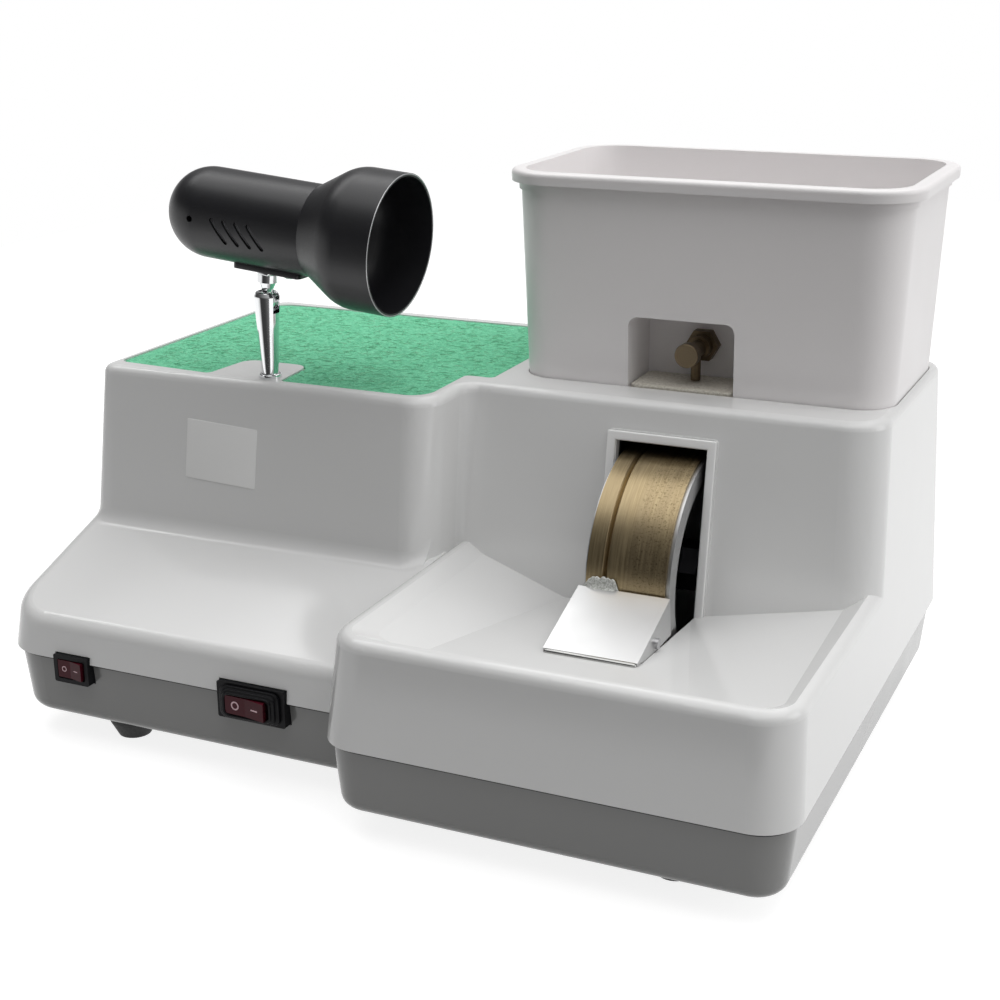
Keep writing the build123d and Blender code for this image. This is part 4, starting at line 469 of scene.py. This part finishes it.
# %% [markdown]
# ## New pieces
#
# What solid modelling leaves plain is made here: soft things, prints and thin trim. Each starts as a
# primitive at its real size and place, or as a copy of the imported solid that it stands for, and is then
# shaped in edit mode or by modifiers that are applied. A few helpers keep the cells short.

# %% Helpers for shaping
def deselect():
    """Back to object mode with nothing selected."""
    if bpy.context.object and bpy.context.object.mode != "OBJECT":
        bpy.ops.object.mode_set(mode="OBJECT")
    bpy.ops.object.select_all(action="DESELECT")


def pick(piece):
    """Makes one piece the only selected and active one."""
    deselect()
    piece.select_set(True)
    bpy.context.view_layer.objects.active = piece


def apply(piece, kind, **settings):
    """Adds a modifier with its settings and applies it."""
    pick(piece)
    modifier = piece.modifiers.new(kind.lower(), kind)
    for setting, value in settings.items():
        setattr(modifier, setting, value)
    bpy.ops.object.modifier_apply(modifier=modifier.name)


def roughen(piece, name, size, rise, middle=0.5, detail=2):
    """Pushes a surface up and down by cloudy noise with lumps of a given size in metres."""
    texture = bpy.data.textures.new(name, "CLOUDS")
    texture.noise_scale = size
    texture.noise_depth = detail
    apply(piece, "DISPLACE", texture=texture, texture_coords="GLOBAL", strength=rise, mid_level=middle)


def round_edges(piece, width, segments=2, sharper_than=40):
    """Bevels the edges that are sharper than an angle in degrees."""
    limit = radians(sharper_than)
    apply(piece, "BEVEL", width=width, segments=segments, limit_method="ANGLE", angle_limit=limit)


print("shaping helpers ready")

# %% Helpers for starting and finishing a piece
def copy_of(node, name):
    """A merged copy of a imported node's mesh, as an object of its own."""
    mesh = nodes[node].data.copy()
    piece = bpy.data.objects.new(name, mesh)
    bpy.context.scene.collection.objects.link(piece)
    pick(piece)
    bpy.ops.mesh.customdata_custom_splitnormals_clear()
    bpy.ops.object.mode_set(mode="EDIT")
    bpy.ops.mesh.select_all(action="SELECT")
    bpy.ops.mesh.remove_doubles(threshold=0.01 * mm)
    bpy.ops.object.mode_set(mode="OBJECT")
    return piece


def settle(piece, name, material, body, crease=None):
    """Names a piece, puts its place in its mesh, and gives it a finish and a body.

    With a crease, the piece looks smooth but for edges sharper than that angle in degrees.
    """
    pick(piece)
    bpy.ops.object.transform_apply(location=True, rotation=True, scale=True)
    piece.name = name
    piece.data.materials.clear()
    piece.data.materials.append(material)
    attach(piece, body)
    if crease:
        bpy.ops.object.shade_smooth_by_angle(angle=radians(crease))


def report(piece):
    """Prints how many triangles a piece has and how large it is."""
    triangles = sum(len(face.vertices) - 2 for face in piece.data.polygons)
    print(piece.name, triangles, "triangles,", [round(side / mm, 1) for side in piece.dimensions], "mm")


print("helpers for pieces ready")

# %% [markdown]
# ### The work mat
#
# The mat is a sheet of green non-woven fibre, like a scouring pad, cut to the shape of the deck with a
# notch round the lamp post. Cloth simulation would add nothing, because it lies flat and stiff. So the
# solid is copied, cut into small even cells and pushed up and down by two sizes of noise: lumps of a few
# millimetres and the fibres' own crumbs. Its cut area, in square metres, leaves out the notch and the
# round corners.

# %% Green fibre
mat_green = finish("mat_green", (0.12, 0.42, 0.24), 0.95, Specular_IOR_Level=0.2)
tufts = noise(mat_green, 2.6 * mm, places(mat_green, stretch=(0.7, 1.5, 1)), detail=4.0, roughness=0.65)
strands = noise(mat_green, 0.8 * mm, places(mat_green, stretch=(1, 0.5, 1)), detail=3.0, roughness=0.7)
green = blend(mat_green, spread(mat_green, tufts, 0, 1, 0.36, 0.62), (0.09, 0.42, 0.23), (0.20, 0.66, 0.40))
green = blend(mat_green, spread(mat_green, strands, 0, 0.8, 0.45, 0.75), green, (0.31, 0.76, 0.50))
set_input(mat_green, "Base Color", green)
bump(mat_green, tufts, 0.9 * mm, 0.7)
bump(mat_green, strands, 0.4 * mm, 0.6)
print("green fibre ready")

# %% Work mat
mat_cell, mat_cut_area = 0.95 * mm, 0.0309
lump_size, lump_rise = 3.2 * mm, 0.7 * mm
crumb_size, crumb_rise = 1.3 * mm, 0.5 * mm
work_mat = copy_of("work_mat", "green_work_mat")
apply(work_mat, "REMESH", mode="VOXEL", voxel_size=mat_cell)
roughen(work_mat, "mat_lumps", lump_size, lump_rise, middle=0.55)
roughen(work_mat, "mat_crumbs", crumb_size, crumb_rise, detail=3)
settle(work_mat, "green_work_mat", mat_green, "machine")
bpy.ops.object.shade_smooth()
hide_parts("work_mat")
mat_low, mat_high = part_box("work_mat")
report(work_mat)

# %% [markdown]
# Loose fibres stand out of the mat. Each is one thin arched curve. Fifteen hundred of them are set at
# random places, turned at random, dropped onto the mat and made one mesh.

# %% One loose fibre
fibre_length, fibre_lift, fibre_radius = 5 * mm, 0.35 * mm, 0.11 * mm
fibre_count, fibre_seed, most_bow = 1500, 11, 0.35
above_mat = mat_high.z + 5 * mm
down = Vector((0, 0, -1))
chance = Random(fibre_seed)


def fallen_fibre():
    """Four points of an arched fibre that lies at random, fewer where it hangs over the mat's edge."""
    x = chance.uniform(mat_low.x + fibre_length, mat_high.x - fibre_length)
    y = chance.uniform(mat_low.y + fibre_length, mat_high.y - fibre_length)
    turn = chance.uniform(0, 2 * pi)
    bow = chance.uniform(-most_bow, most_bow)
    points = []
    for share in (-0.5, -0.2, 0.15, 0.5):
        along = share * fibre_length
        aside = bow * fibre_length * (0.25 - share * share)
        spot_x = x + along * cos(turn) - aside * sin(turn)
        spot_y = y + along * sin(turn) + aside * cos(turn)
        hit, place, _, _ = work_mat.ray_cast(Vector((spot_x, spot_y, above_mat)), down)
        if hit:
            points.append(place + Vector((0, 0, fibre_lift * (1 - 4 * share * share))))
    return points


print("fibres of", fibre_length / mm, "mm will fall from", round(above_mat / mm, 1), "mm")

# %% Loose fibres on the mat
fibres = bpy.data.curves.new("fibres", "CURVE")
fibres.dimensions = "3D"
fibres.bevel_depth = fibre_radius
fibres.bevel_resolution = 0
while len(fibres.splines) < fibre_count:
    points = fallen_fibre()
    if len(points) < 4:
        continue
    spline = fibres.splines.new("NURBS")
    spline.points.add(3)
    for point, place in zip(spline.points, points):
        point.co = (*place, 1)
    spline.order_u = 3
    spline.use_endpoint_u = True
    spline.resolution_u = 2

fibre_green = finish("fibre_green", (0.17, 0.50, 0.31), 0.8)
pale_share = spread(fibre_green, noise(fibre_green, 6 * mm), 0, 1)
set_input(fibre_green, "Base Color", blend(fibre_green, pale_share, (0.13, 0.50, 0.29), (0.40, 0.82, 0.58)))
mat_fibres = bpy.data.objects.new("fibres", fibres)
bpy.context.scene.collection.objects.link(mat_fibres)
pick(mat_fibres)
bpy.ops.object.convert(target="MESH")
settle(mat_fibres, "mat_fibres", fibre_green, "machine")
report(mat_fibres)

# %% [markdown]
# ### The drip pad
#
# A block of cream foam lies under the spout and catches the drops. Foam has no sharp edge, so its copy is
# remeshed finely, its corners are smoothed round, and a shallow noise dents it.

# %% Cream foam
pad_cream = finish("pad_cream", (0.62, 0.59, 0.52), 0.9)
pores = noise(pad_cream, 1.2 * mm, detail=4.0, roughness=0.7)
cream = blend(pad_cream, spread(pad_cream, pores, 0, 1, 0.35, 0.6), (0.47, 0.44, 0.38), (0.70, 0.67, 0.60))
stained = spread(pad_cream, noise(pad_cream, 14 * mm), 0, 0.5)
set_input(pad_cream, "Base Color", blend(pad_cream, stained, cream, (0.55, 0.50, 0.42)))
bump(pad_cream, pores, 0.4 * mm, 0.6)
print("cream foam ready")

# %% Drip pad
pad_cell, dent_size, dent_depth = 0.7 * mm, 5 * mm, 0.5 * mm
drip_pad = copy_of("drip_pad", "foam_drip_pad")
apply(drip_pad, "REMESH", mode="VOXEL", voxel_size=pad_cell)
apply(drip_pad, "SMOOTH", factor=0.5, iterations=5)
roughen(drip_pad, "pad_dents", dent_size, dent_depth, middle=0.6)
settle(drip_pad, "foam_drip_pad", pad_cream, "machine")
bpy.ops.object.shade_smooth()
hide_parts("drip_pad")
report(drip_pad)

# %% [markdown]
# ### The wiper
#
# A strip of sponge behind the guard wipes the wheel, and the wheel wears it away. Most of its upper edge
# is gone, but over the left two fifths a ragged lip still stands up. The copy of its solid is remeshed,
# and the points near the top are moved to a torn line that depends on how far along the strip they are.

# %% Grey sponge
sponge_grey = finish("sponge_grey", (0.50, 0.52, 0.48), 0.92)
pores = noise(sponge_grey, 0.9 * mm, detail=4.0, roughness=0.75)
pore_share = spread(sponge_grey, pores, 0, 1, 0.38, 0.58)
sponge = blend(sponge_grey, pore_share, (0.42, 0.43, 0.39), (0.80, 0.81, 0.78))
set_input(sponge_grey, "Base Color", sponge)
bump(sponge_grey, pores, 0.6 * mm, 0.8)
print("grey sponge ready")

# %% Wiper
sponge_low, sponge_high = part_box("wiper_sponge")
sponge_cell = 0.55 * mm
shoulder = sponge_high.z - 5 * mm
worn_away, lip_rise = 2.9 * mm, 6.4 * mm
lip_share, lip_slope, end_slope = 0.43, 0.05, 0.12
coarse_tear, fine_tear = 1.7 * mm, 0.7 * mm
tear_depth, lip_tear_depth = 0.5 * mm, 0.6 * mm


def worn_height(x, y):
    """How high the sponge still stands at a place, as a torn line with one step."""
    along = (x - sponge_low.x) / (sponge_high.x - sponge_low.x)
    step = min(1.0, max(0.0, (lip_share - along) / lip_slope))
    end = min(1.0, max(0.0, along / end_slope))
    ragged = turbulence.noise(Vector((x, y, 0)) / coarse_tear)
    ragged += 0.5 * turbulence.noise(Vector((x, y, 7)) / fine_tear)
    level = sponge_high.z - worn_away + step * end * lip_rise
    return level + ragged * (tear_depth + lip_tear_depth * step)


wiper = copy_of("wiper_sponge", "torn_wiper")
apply(wiper, "REMESH", mode="VOXEL", voxel_size=sponge_cell)
for vertex in wiper.data.vertices:
    rise = (vertex.co.z - shoulder) / (sponge_high.z - shoulder)
    if rise > 0:
        vertex.co.z = shoulder + rise * (worn_height(vertex.co.x, vertex.co.y) - shoulder)
settle(wiper, "torn_wiper", sponge_grey, "machine")
bpy.ops.object.shade_smooth()
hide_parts("wiper_sponge")
report(wiper)

# %% [markdown]
# ### The boot of the motor switch
#
# Water is about, so the motor switch sits in a rubber boot that steps out in rounded ridges. A cube of the
# boot's width gets round corners. Its front face is drawn in and pushed out twice, and once more inwards
# for the well that the rocker moves in. A bevel rounds all the steps.

# %% Helpers for boxes
def cube(name, low, high):
    """A cube between two corners, alone and active."""
    deselect()
    size = [b - a for a, b in zip(low, high)]
    centre = [(a + b) / 2 for a, b in zip(low, high)]
    bpy.ops.mesh.primitive_cube_add(size=1, location=centre, scale=size)
    bpy.ops.object.transform_apply(location=True, rotation=True, scale=True)
    bpy.context.object.name = name
    return bpy.context.object


def round_corners(piece, along, radius, segments=5):
    """Rounds the four edges of a box that run along X, Y or Z."""
    axis = "XYZ".index(along)
    bpy.ops.object.mode_set(mode="EDIT")
    bpy.ops.mesh.select_mode(type="EDGE")
    bpy.ops.mesh.select_all(action="DESELECT")
    bpy.ops.object.mode_set(mode="OBJECT")
    corners = piece.data.vertices
    for edge in piece.data.edges:
        start, end = (corners[index].co for index in edge.vertices)
        run = end - start
        edge.select = abs(run[axis]) > 0.9 * run.length
    bpy.ops.object.mode_set(mode="EDIT")
    bpy.ops.mesh.bevel(offset=radius, segments=segments, affect="EDGES")
    bpy.ops.object.mode_set(mode="OBJECT")


def pick_faces(piece, wanted):
    """Edit mode with just the faces that pass a test on their centre and normal."""
    bpy.ops.object.mode_set(mode="EDIT")
    bpy.ops.mesh.select_mode(type="FACE")
    bpy.ops.mesh.select_all(action="DESELECT")
    bpy.ops.object.mode_set(mode="OBJECT")
    for face in piece.data.polygons:
        face.select = wanted(face.center, face.normal)
    bpy.ops.object.mode_set(mode="EDIT")


def pull(step):
    """Extrudes the picked faces by a step along X, Y and Z."""
    bpy.ops.mesh.extrude_region_move(TRANSFORM_OT_translate={"value": step})


def draw_in(old, new):
    """Copies the picked face in its own plane and makes the copy smaller."""
    pull((0, 0, 0))
    bpy.ops.transform.resize(value=(new[0] / old[0], 1, new[1] / old[1]))


print("box helpers ready")

# %% Motor switch boot
boot_corner, boot_edge, last_ridge = 4 * mm, 0.55 * mm, 0.6
step_wide, step_high = 3.0 * mm, 2.2 * mm
well_wide, well_high, well_deep = 24.6 * mm, 10.6 * mm, 3.9 * mm
boot_low, boot_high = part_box("motor_switch_boot")
ridge = (boot_high.y - boot_low.y) / (2 + last_ridge)
boot = cube("boot", (boot_low.x, boot_high.y - ridge, boot_low.z), boot_high)
round_corners(boot, "Y", boot_corner)
pick_faces(boot, lambda centre, normal: normal.y < -0.9)
size = (boot_high.x - boot_low.x, boot_high.z - boot_low.z)
for push in (ridge, last_ridge * ridge):
    smaller = (size[0] - step_wide, size[1] - step_high)
    draw_in(size, smaller)
    size = smaller
    pull((0, -push, 0))
draw_in(size, (well_wide, well_high))
pull((0, well_deep, 0))
bpy.ops.object.mode_set(mode="OBJECT")
round_edges(boot, boot_edge, segments=4)
settle(boot, "ridged_switch_boot", boot_black, "machine", crease=35)
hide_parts("motor_switch_boot")
report(boot)

# %% [markdown]
# ### The marks on the switches
#
# A ring and a bar are printed on each rocker, for off and on. A rocker has two faces that meet in a shallow
# V, so each mark is laid on its own face: the face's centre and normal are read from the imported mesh.

# %% Where a mark goes
def facing(centre, outward):
    """A place on a leaning front as a matrix: X runs level, Y up the front and Z out of it."""
    sideways = Vector((0, 0, 1)).cross(outward).normalized()
    upright = outward.cross(sideways)
    turn = Matrix((sideways, upright, outward)).transposed().to_4x4()
    return Matrix.Translation(centre) @ turn


def face_frame(node, right):
    """Where the left or right front face of a rocker is, as a matrix whose Z points out of it."""
    mesh = nodes[node].data
    middle_x = sum(corner.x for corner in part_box(node)) / 2
    faces = [face for face in mesh.polygons if face.normal.y < -0.9 and (face.center.x > middle_x) == right]
    area = sum(face.area for face in faces)
    centre = sum((face.center * face.area for face in faces), Vector()) / area
    return facing(centre, faces[0].normal)


ring_place = face_frame("motor_switch_rocker", False).translation
print("the ring of the motor switch lies at", [round(c, 4) for c in ring_place])

# %% Marks on the rockers
def mark_ring(place, radius, stroke, proud):
    """A flattened ring on a face."""
    deselect()
    bpy.ops.mesh.primitive_torus_add(
        major_radius=radius, minor_radius=stroke / 2, major_segments=40, minor_segments=10
    )
    ring = bpy.context.object
    bpy.ops.object.mode_set(mode="EDIT")
    bpy.ops.transform.resize(value=(1, 1, 2 * proud / stroke))
    bpy.ops.object.mode_set(mode="OBJECT")
    ring.matrix_world = place
    return ring


def mark_bar(place, length, stroke, proud):
    """A thin bar with rounded ends on a face."""
    bar = cube("bar", (-length / 2, -stroke / 2, -proud), (length / 2, stroke / 2, proud))
    round_edges(bar, stroke * 0.3)
    bar.matrix_world = place
    return bar


mark_pink = grained("mark_pink", (0.72, 0.50, 0.54), 0.5, size=0.4 * mm)
ring_share, bar_share, stroke_share, mark_proud = 0.082, 0.18, 0.033, 0.08 * mm
for node, body in (("lamp_switch_rocker", "lamp_rocker"), ("motor_switch_rocker", "motor_rocker")):
    low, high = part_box(node)
    width = high.x - low.x
    ring = mark_ring(face_frame(node, False), ring_share * width, stroke_share * width, mark_proud)
    bar = mark_bar(face_frame(node, True), bar_share * width, stroke_share * width, mark_proud)
    deselect()
    ring.select_set(True)
    bar.select_set(True)
    bpy.context.view_layer.objects.active = ring
    bpy.ops.object.join()
    settle(ring, body + "_marks", mark_pink, body, crease=40)
    report(ring)

# %% [markdown]
# ### The bare plate
#
# The front of the lamp block carries a thin white plate, stuck on a little askew. It is a flat box with
# slightly rounded corners, laid on the leaning front. The lean is read off the housing itself, by a ray
# that meets it from in front.

# %% Bare plate
def housing_front(x, z):
    """The point and the normal of the housing's front at a place, found by a ray from in front."""
    start = Vector((x, -0.3, z))
    _, place, normal, _ = nodes["upper_housing"].ray_cast(start, Vector((0, 1, 0)))
    return place, normal


plate_x, plate_z, plate_askew = -124.5 * mm, 142 * mm, radians(-2.5)
plate_wide, plate_high, plate_thick = 42.5 * mm, 31.5 * mm, 0.5 * mm
plate_corner, plate_edge, plate_lift = 0.6 * mm, 0.12 * mm, 0.1 * mm
on_block, block_normal = housing_front(plate_x, plate_z)
half = (plate_wide / 2, plate_high / 2, plate_thick / 2)
plate = cube("plate", [-side for side in half], half)
round_corners(plate, "Z", plate_corner, segments=3)
round_edges(plate, plate_edge)
askew = Matrix.Rotation(plate_askew, 4, "Z")
plate.matrix_world = facing(on_block + block_normal * plate_lift, block_normal) @ askew
plate_white = moulded("plate_white", (0.94, 0.94, 0.93), 0.42)
settle(plate, "bare_front_plate", plate_white, "machine", crease=35)
print("plate stands on the front at", [round(c / mm, 1) for c in on_block])
report(plate)

# %% [markdown]
# ### The edging of the slot
#
# A rounded white strip runs up one side of the wheel's slot, across its top and down the other. A plane
# as large as the strip's outline is inset by the strip's width. The middle and the lower side are
# deleted, the rest is pushed out from the frame, and a wide bevel makes it nearly half round.

# %% Outline of the edging
slot_left, slot_right, slot_top, slot_foot = 80 * mm, 126.5 * mm, 162 * mm, 78 * mm
strip_width, strip_proud, strip_round = 4.4 * mm, 1.5 * mm, 1.3 * mm
strip_gap, strip_sunk = 0.3 * mm, 0.1 * mm
frame_x, frame_z = 129 * mm, 130 * mm
on_frame, frame_normal = housing_front(frame_x, frame_z)
lean = Vector((0, 0, 1)).angle(frame_normal.cross(Vector((1, 0, 0))))
lean = min(lean, pi - lean)
strip_top = (slot_top - on_frame.z) / cos(lean) + strip_width + strip_gap
strip_foot = (slot_foot - on_frame.z) / cos(lean) - strip_width
strip_middle = (strip_top + strip_foot) / 2
strip_wide = slot_right - slot_left + 2 * (strip_width + strip_gap)
print("edging", round(strip_wide / mm, 1), "by", round((strip_top - strip_foot) / mm, 1), "mm")

# %% Edging of the slot
def within_or_below(centre, normal):
    """Whether a face of the inset plane is its middle or its lower side."""
    return abs(centre.x) < 0.2 * strip_wide and centre.y < strip_middle + strip_width


deselect()
bpy.ops.mesh.primitive_plane_add(size=1)
strip = bpy.context.object
strip.scale = (strip_wide, strip_top - strip_foot, 1)
strip.location = (0, strip_middle, 0)
bpy.ops.object.transform_apply(location=True, rotation=True, scale=True)
bpy.ops.object.mode_set(mode="EDIT")
bpy.ops.mesh.select_all(action="SELECT")
bpy.ops.mesh.inset(thickness=strip_width)
bpy.ops.object.mode_set(mode="OBJECT")
pick_faces(strip, within_or_below)
bpy.ops.mesh.delete(type="FACE")
bpy.ops.mesh.select_all(action="SELECT")
pull((0, 0, strip_proud))
bpy.ops.mesh.select_all(action="SELECT")
bpy.ops.mesh.normals_make_consistent(inside=False)
bpy.ops.object.mode_set(mode="OBJECT")
round_edges(strip, strip_round, segments=5)
on_frame.x = (slot_left + slot_right) / 2
strip.matrix_world = facing(on_frame - frame_normal * strip_sunk, frame_normal)
# The strip's white is lighter than the case's, as painted light, so the whole bead looks lit.
strip_white_painted_light = moulded("strip_white_painted_light", (0.93, 0.93, 0.925), 0.2)
settle(strip, "slot_edging", strip_white_painted_light, "machine", crease=35)
report(strip)

# %% [markdown]
# ### The painted shadow of the seam
#
# A thin black strip between the housing and the base is painted shadow, a dark line under the white edge
# where its overhang casts shade. The uppermost slice of the base has just its outline, so the strip is that
# slice: a copy of the base cut off above and below by two planes, and let out by a fraction of a millimetre.

# %% Painted seam shadow
seam_shadow_top, seam_shadow_thick, seam_shadow_proud = 48.4 * mm, 1.2 * mm, 0.3 * mm
seam_shadow = copy_of("base_tray", "case_seam_shadow")
bpy.ops.object.mode_set(mode="EDIT")
for cut_z, outer in ((seam_shadow_top, True), (seam_shadow_top - seam_shadow_thick, False)):
    bpy.ops.mesh.select_all(action="SELECT")
    bpy.ops.mesh.bisect(
        plane_co=(0, 0, cut_z), plane_no=(0, 0, 1), use_fill=True, clear_outer=outer, clear_inner=not outer
    )
bpy.ops.mesh.select_all(action="SELECT")
wide, deep = seam_shadow.dimensions.x, seam_shadow.dimensions.y
bpy.ops.transform.resize(
    value=(1 + 2 * seam_shadow_proud / wide, 1 + 2 * seam_shadow_proud / deep, 1),
    center_override=(0, 0, seam_shadow_top),
)
bpy.ops.object.mode_set(mode="OBJECT")
# The black strip is painted shadow under the housing's edge.
settle(seam_shadow, "case_seam_shadow", rubber, "machine")
report(seam_shadow)

# %% [markdown]
# ### Trim of the lamp
#
# A thin ring of bare steel, lighter than the paint, runs round the edge of the shade as a painted highlight.
# The lamp body is lined with a dark grey sleeve that shields the paint from the heat, and it shows through
# the slits. Both lie round the lamp's axis, which dips a little to the right.

# %% The lamp's axis
lamp_middle, lamp_dip = Vector((-98.6, -25, 261.8)) * mm, radians(5.45)
lamp_axis = Vector((cos(lamp_dip), 0, -sin(lamp_dip)))
lamp_up = Vector((sin(lamp_dip), 0, cos(lamp_dip)))


def pointing(centre, axis):
    """A place as a matrix whose Z runs along an axis."""
    return Matrix.Translation(centre) @ axis.to_track_quat("Z", "Y").to_matrix().to_4x4()


print("the lamp points along", [round(c, 3) for c in lamp_axis])

# %% Painted highlight ring on the edge of the shade
edge_radius, edge_wire, edge_place, edge_flatness = 34.75 * mm, 0.34 * mm, 74.4 * mm, 0.8
deselect()
bpy.ops.mesh.primitive_torus_add(
    major_radius=edge_radius, minor_radius=edge_wire, major_segments=96, minor_segments=10
)
shade_edge = bpy.context.object
bpy.ops.object.mode_set(mode="EDIT")
bpy.ops.transform.resize(value=(1, 1, edge_flatness))
bpy.ops.object.mode_set(mode="OBJECT")
shade_edge.matrix_world = pointing(lamp_middle + lamp_axis * edge_place, lamp_axis)
settle(shade_edge, "shade_edge_highlight", steel, "lamp_head")
bpy.ops.object.shade_smooth()
report(shade_edge)

# %% Heat sleeve
sleeve_radius, sleeve_length, sleeve_place = 21.45 * mm, 46 * mm, -4 * mm
sleeve_wall, sleeve_edge = 0.5 * mm, 0.15 * mm
deselect()
bpy.ops.mesh.primitive_cylinder_add(
    radius=sleeve_radius, depth=sleeve_length, vertices=64, end_fill_type="NOTHING"
)
sleeve = bpy.context.object
apply(sleeve, "SOLIDIFY", thickness=sleeve_wall, offset=-1)
round_edges(sleeve, sleeve_edge, sharper_than=50)
sleeve.matrix_world = pointing(lamp_middle + lamp_axis * sleeve_place, lamp_axis)
sleeve_grey = grained("sleeve_grey", (0.20, 0.20, 0.21), 0.5)
settle(sleeve, "lamp_heat_sleeve", sleeve_grey, "lamp_head", crease=35)
report(sleeve)

# %% [markdown]
# The bracket is a thin pressed strap that hugs the body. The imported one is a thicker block, so its copy is
# pressed flat: points below the body move up, and both ends move in. The screw's head follows it, and a
# chrome nut fills the place between the strap and the neck.

# %% Strap under the lamp
body_radius, block_low, strap_low = 23.1 * mm, 26.5 * mm, 24.7 * mm
strap_front, strap_back, strap_edge = 16 * mm, -5 * mm, 0.3 * mm
front_pull, back_pull = 0.5, 0.25
press = (strap_low - body_radius) / (block_low - body_radius)
strap = copy_of("lamp_bracket", "lamp_strap")
for vertex in strap.data.vertices:
    offset = vertex.co - lamp_middle
    down_from_axis, along = -offset.dot(lamp_up), offset.dot(lamp_axis)
    rise = max(0.0, down_from_axis - body_radius) * (1 - press)
    inward = min(0.0, strap_front - along) * front_pull
    inward += max(0.0, strap_back - along) * back_pull
    vertex.co += lamp_up * rise + lamp_axis * inward
round_edges(strap, strap_edge, sharper_than=50)
settle(strap, "lamp_strap", lamp_paint, "lamp_head", crease=35)
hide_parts("lamp_bracket")
report(strap)

# %% Screw and nut of the strap
strap_screw = copy_of("bracket_screw", "strap_screw")
for vertex in strap_screw.data.vertices:
    vertex.co += lamp_up * (block_low - strap_low)
settle(strap_screw, "strap_screw", chrome, "lamp_head", crease=35)
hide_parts("bracket_screw")
report(strap_screw)

nut_radius, nut_edge = 6.0 * mm, 0.4 * mm
deselect()
bpy.ops.mesh.primitive_cylinder_add(radius=nut_radius, depth=block_low - strap_low, vertices=6)
neck_nut = bpy.context.object
round_edges(neck_nut, nut_edge, segments=3)
neck_nut.matrix_world = pointing(lamp_middle - lamp_up * (block_low + strap_low) / 2, lamp_up)
settle(neck_nut, "neck_nut", chrome, "lamp_head", crease=35)
report(neck_nut)

# %% [markdown]
# ### The hem of the guard
#
# The guard is folded over at its lower front edge, which makes a small rounded hem. A box that covers the
# fold, a little narrower than the guard, becomes the hem by one wide bevel. Its steel is smoother than the
# sheet and is painted darker, as painted shade for the dark line along the fold.

# %% Hem of the guard
hem_inset, hem_round = 0.3 * mm, 1.5 * mm
hem_front, hem_back, hem_foot, hem_top = 1.8 * mm, 1.6 * mm, 0.2 * mm, 3.8 * mm
guard_low, guard_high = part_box("splash_guard")
hem = cube(
    "hem",
    (guard_low.x + hem_inset, guard_low.y - hem_front, guard_low.z + hem_foot),
    (guard_high.x - hem_inset, guard_low.y + hem_back, guard_low.z + hem_top),
)
round_edges(hem, hem_round, segments=6)
# The hem's steel is darker than the guard's as painted shade.
hem_steel_painted_shade = metal("hem_steel_painted_shade", (0.42, 0.42, 0.41), 0.12, 0.06)
settle(hem, "guard_hem", hem_steel_painted_shade, "machine", crease=35)
report(hem)
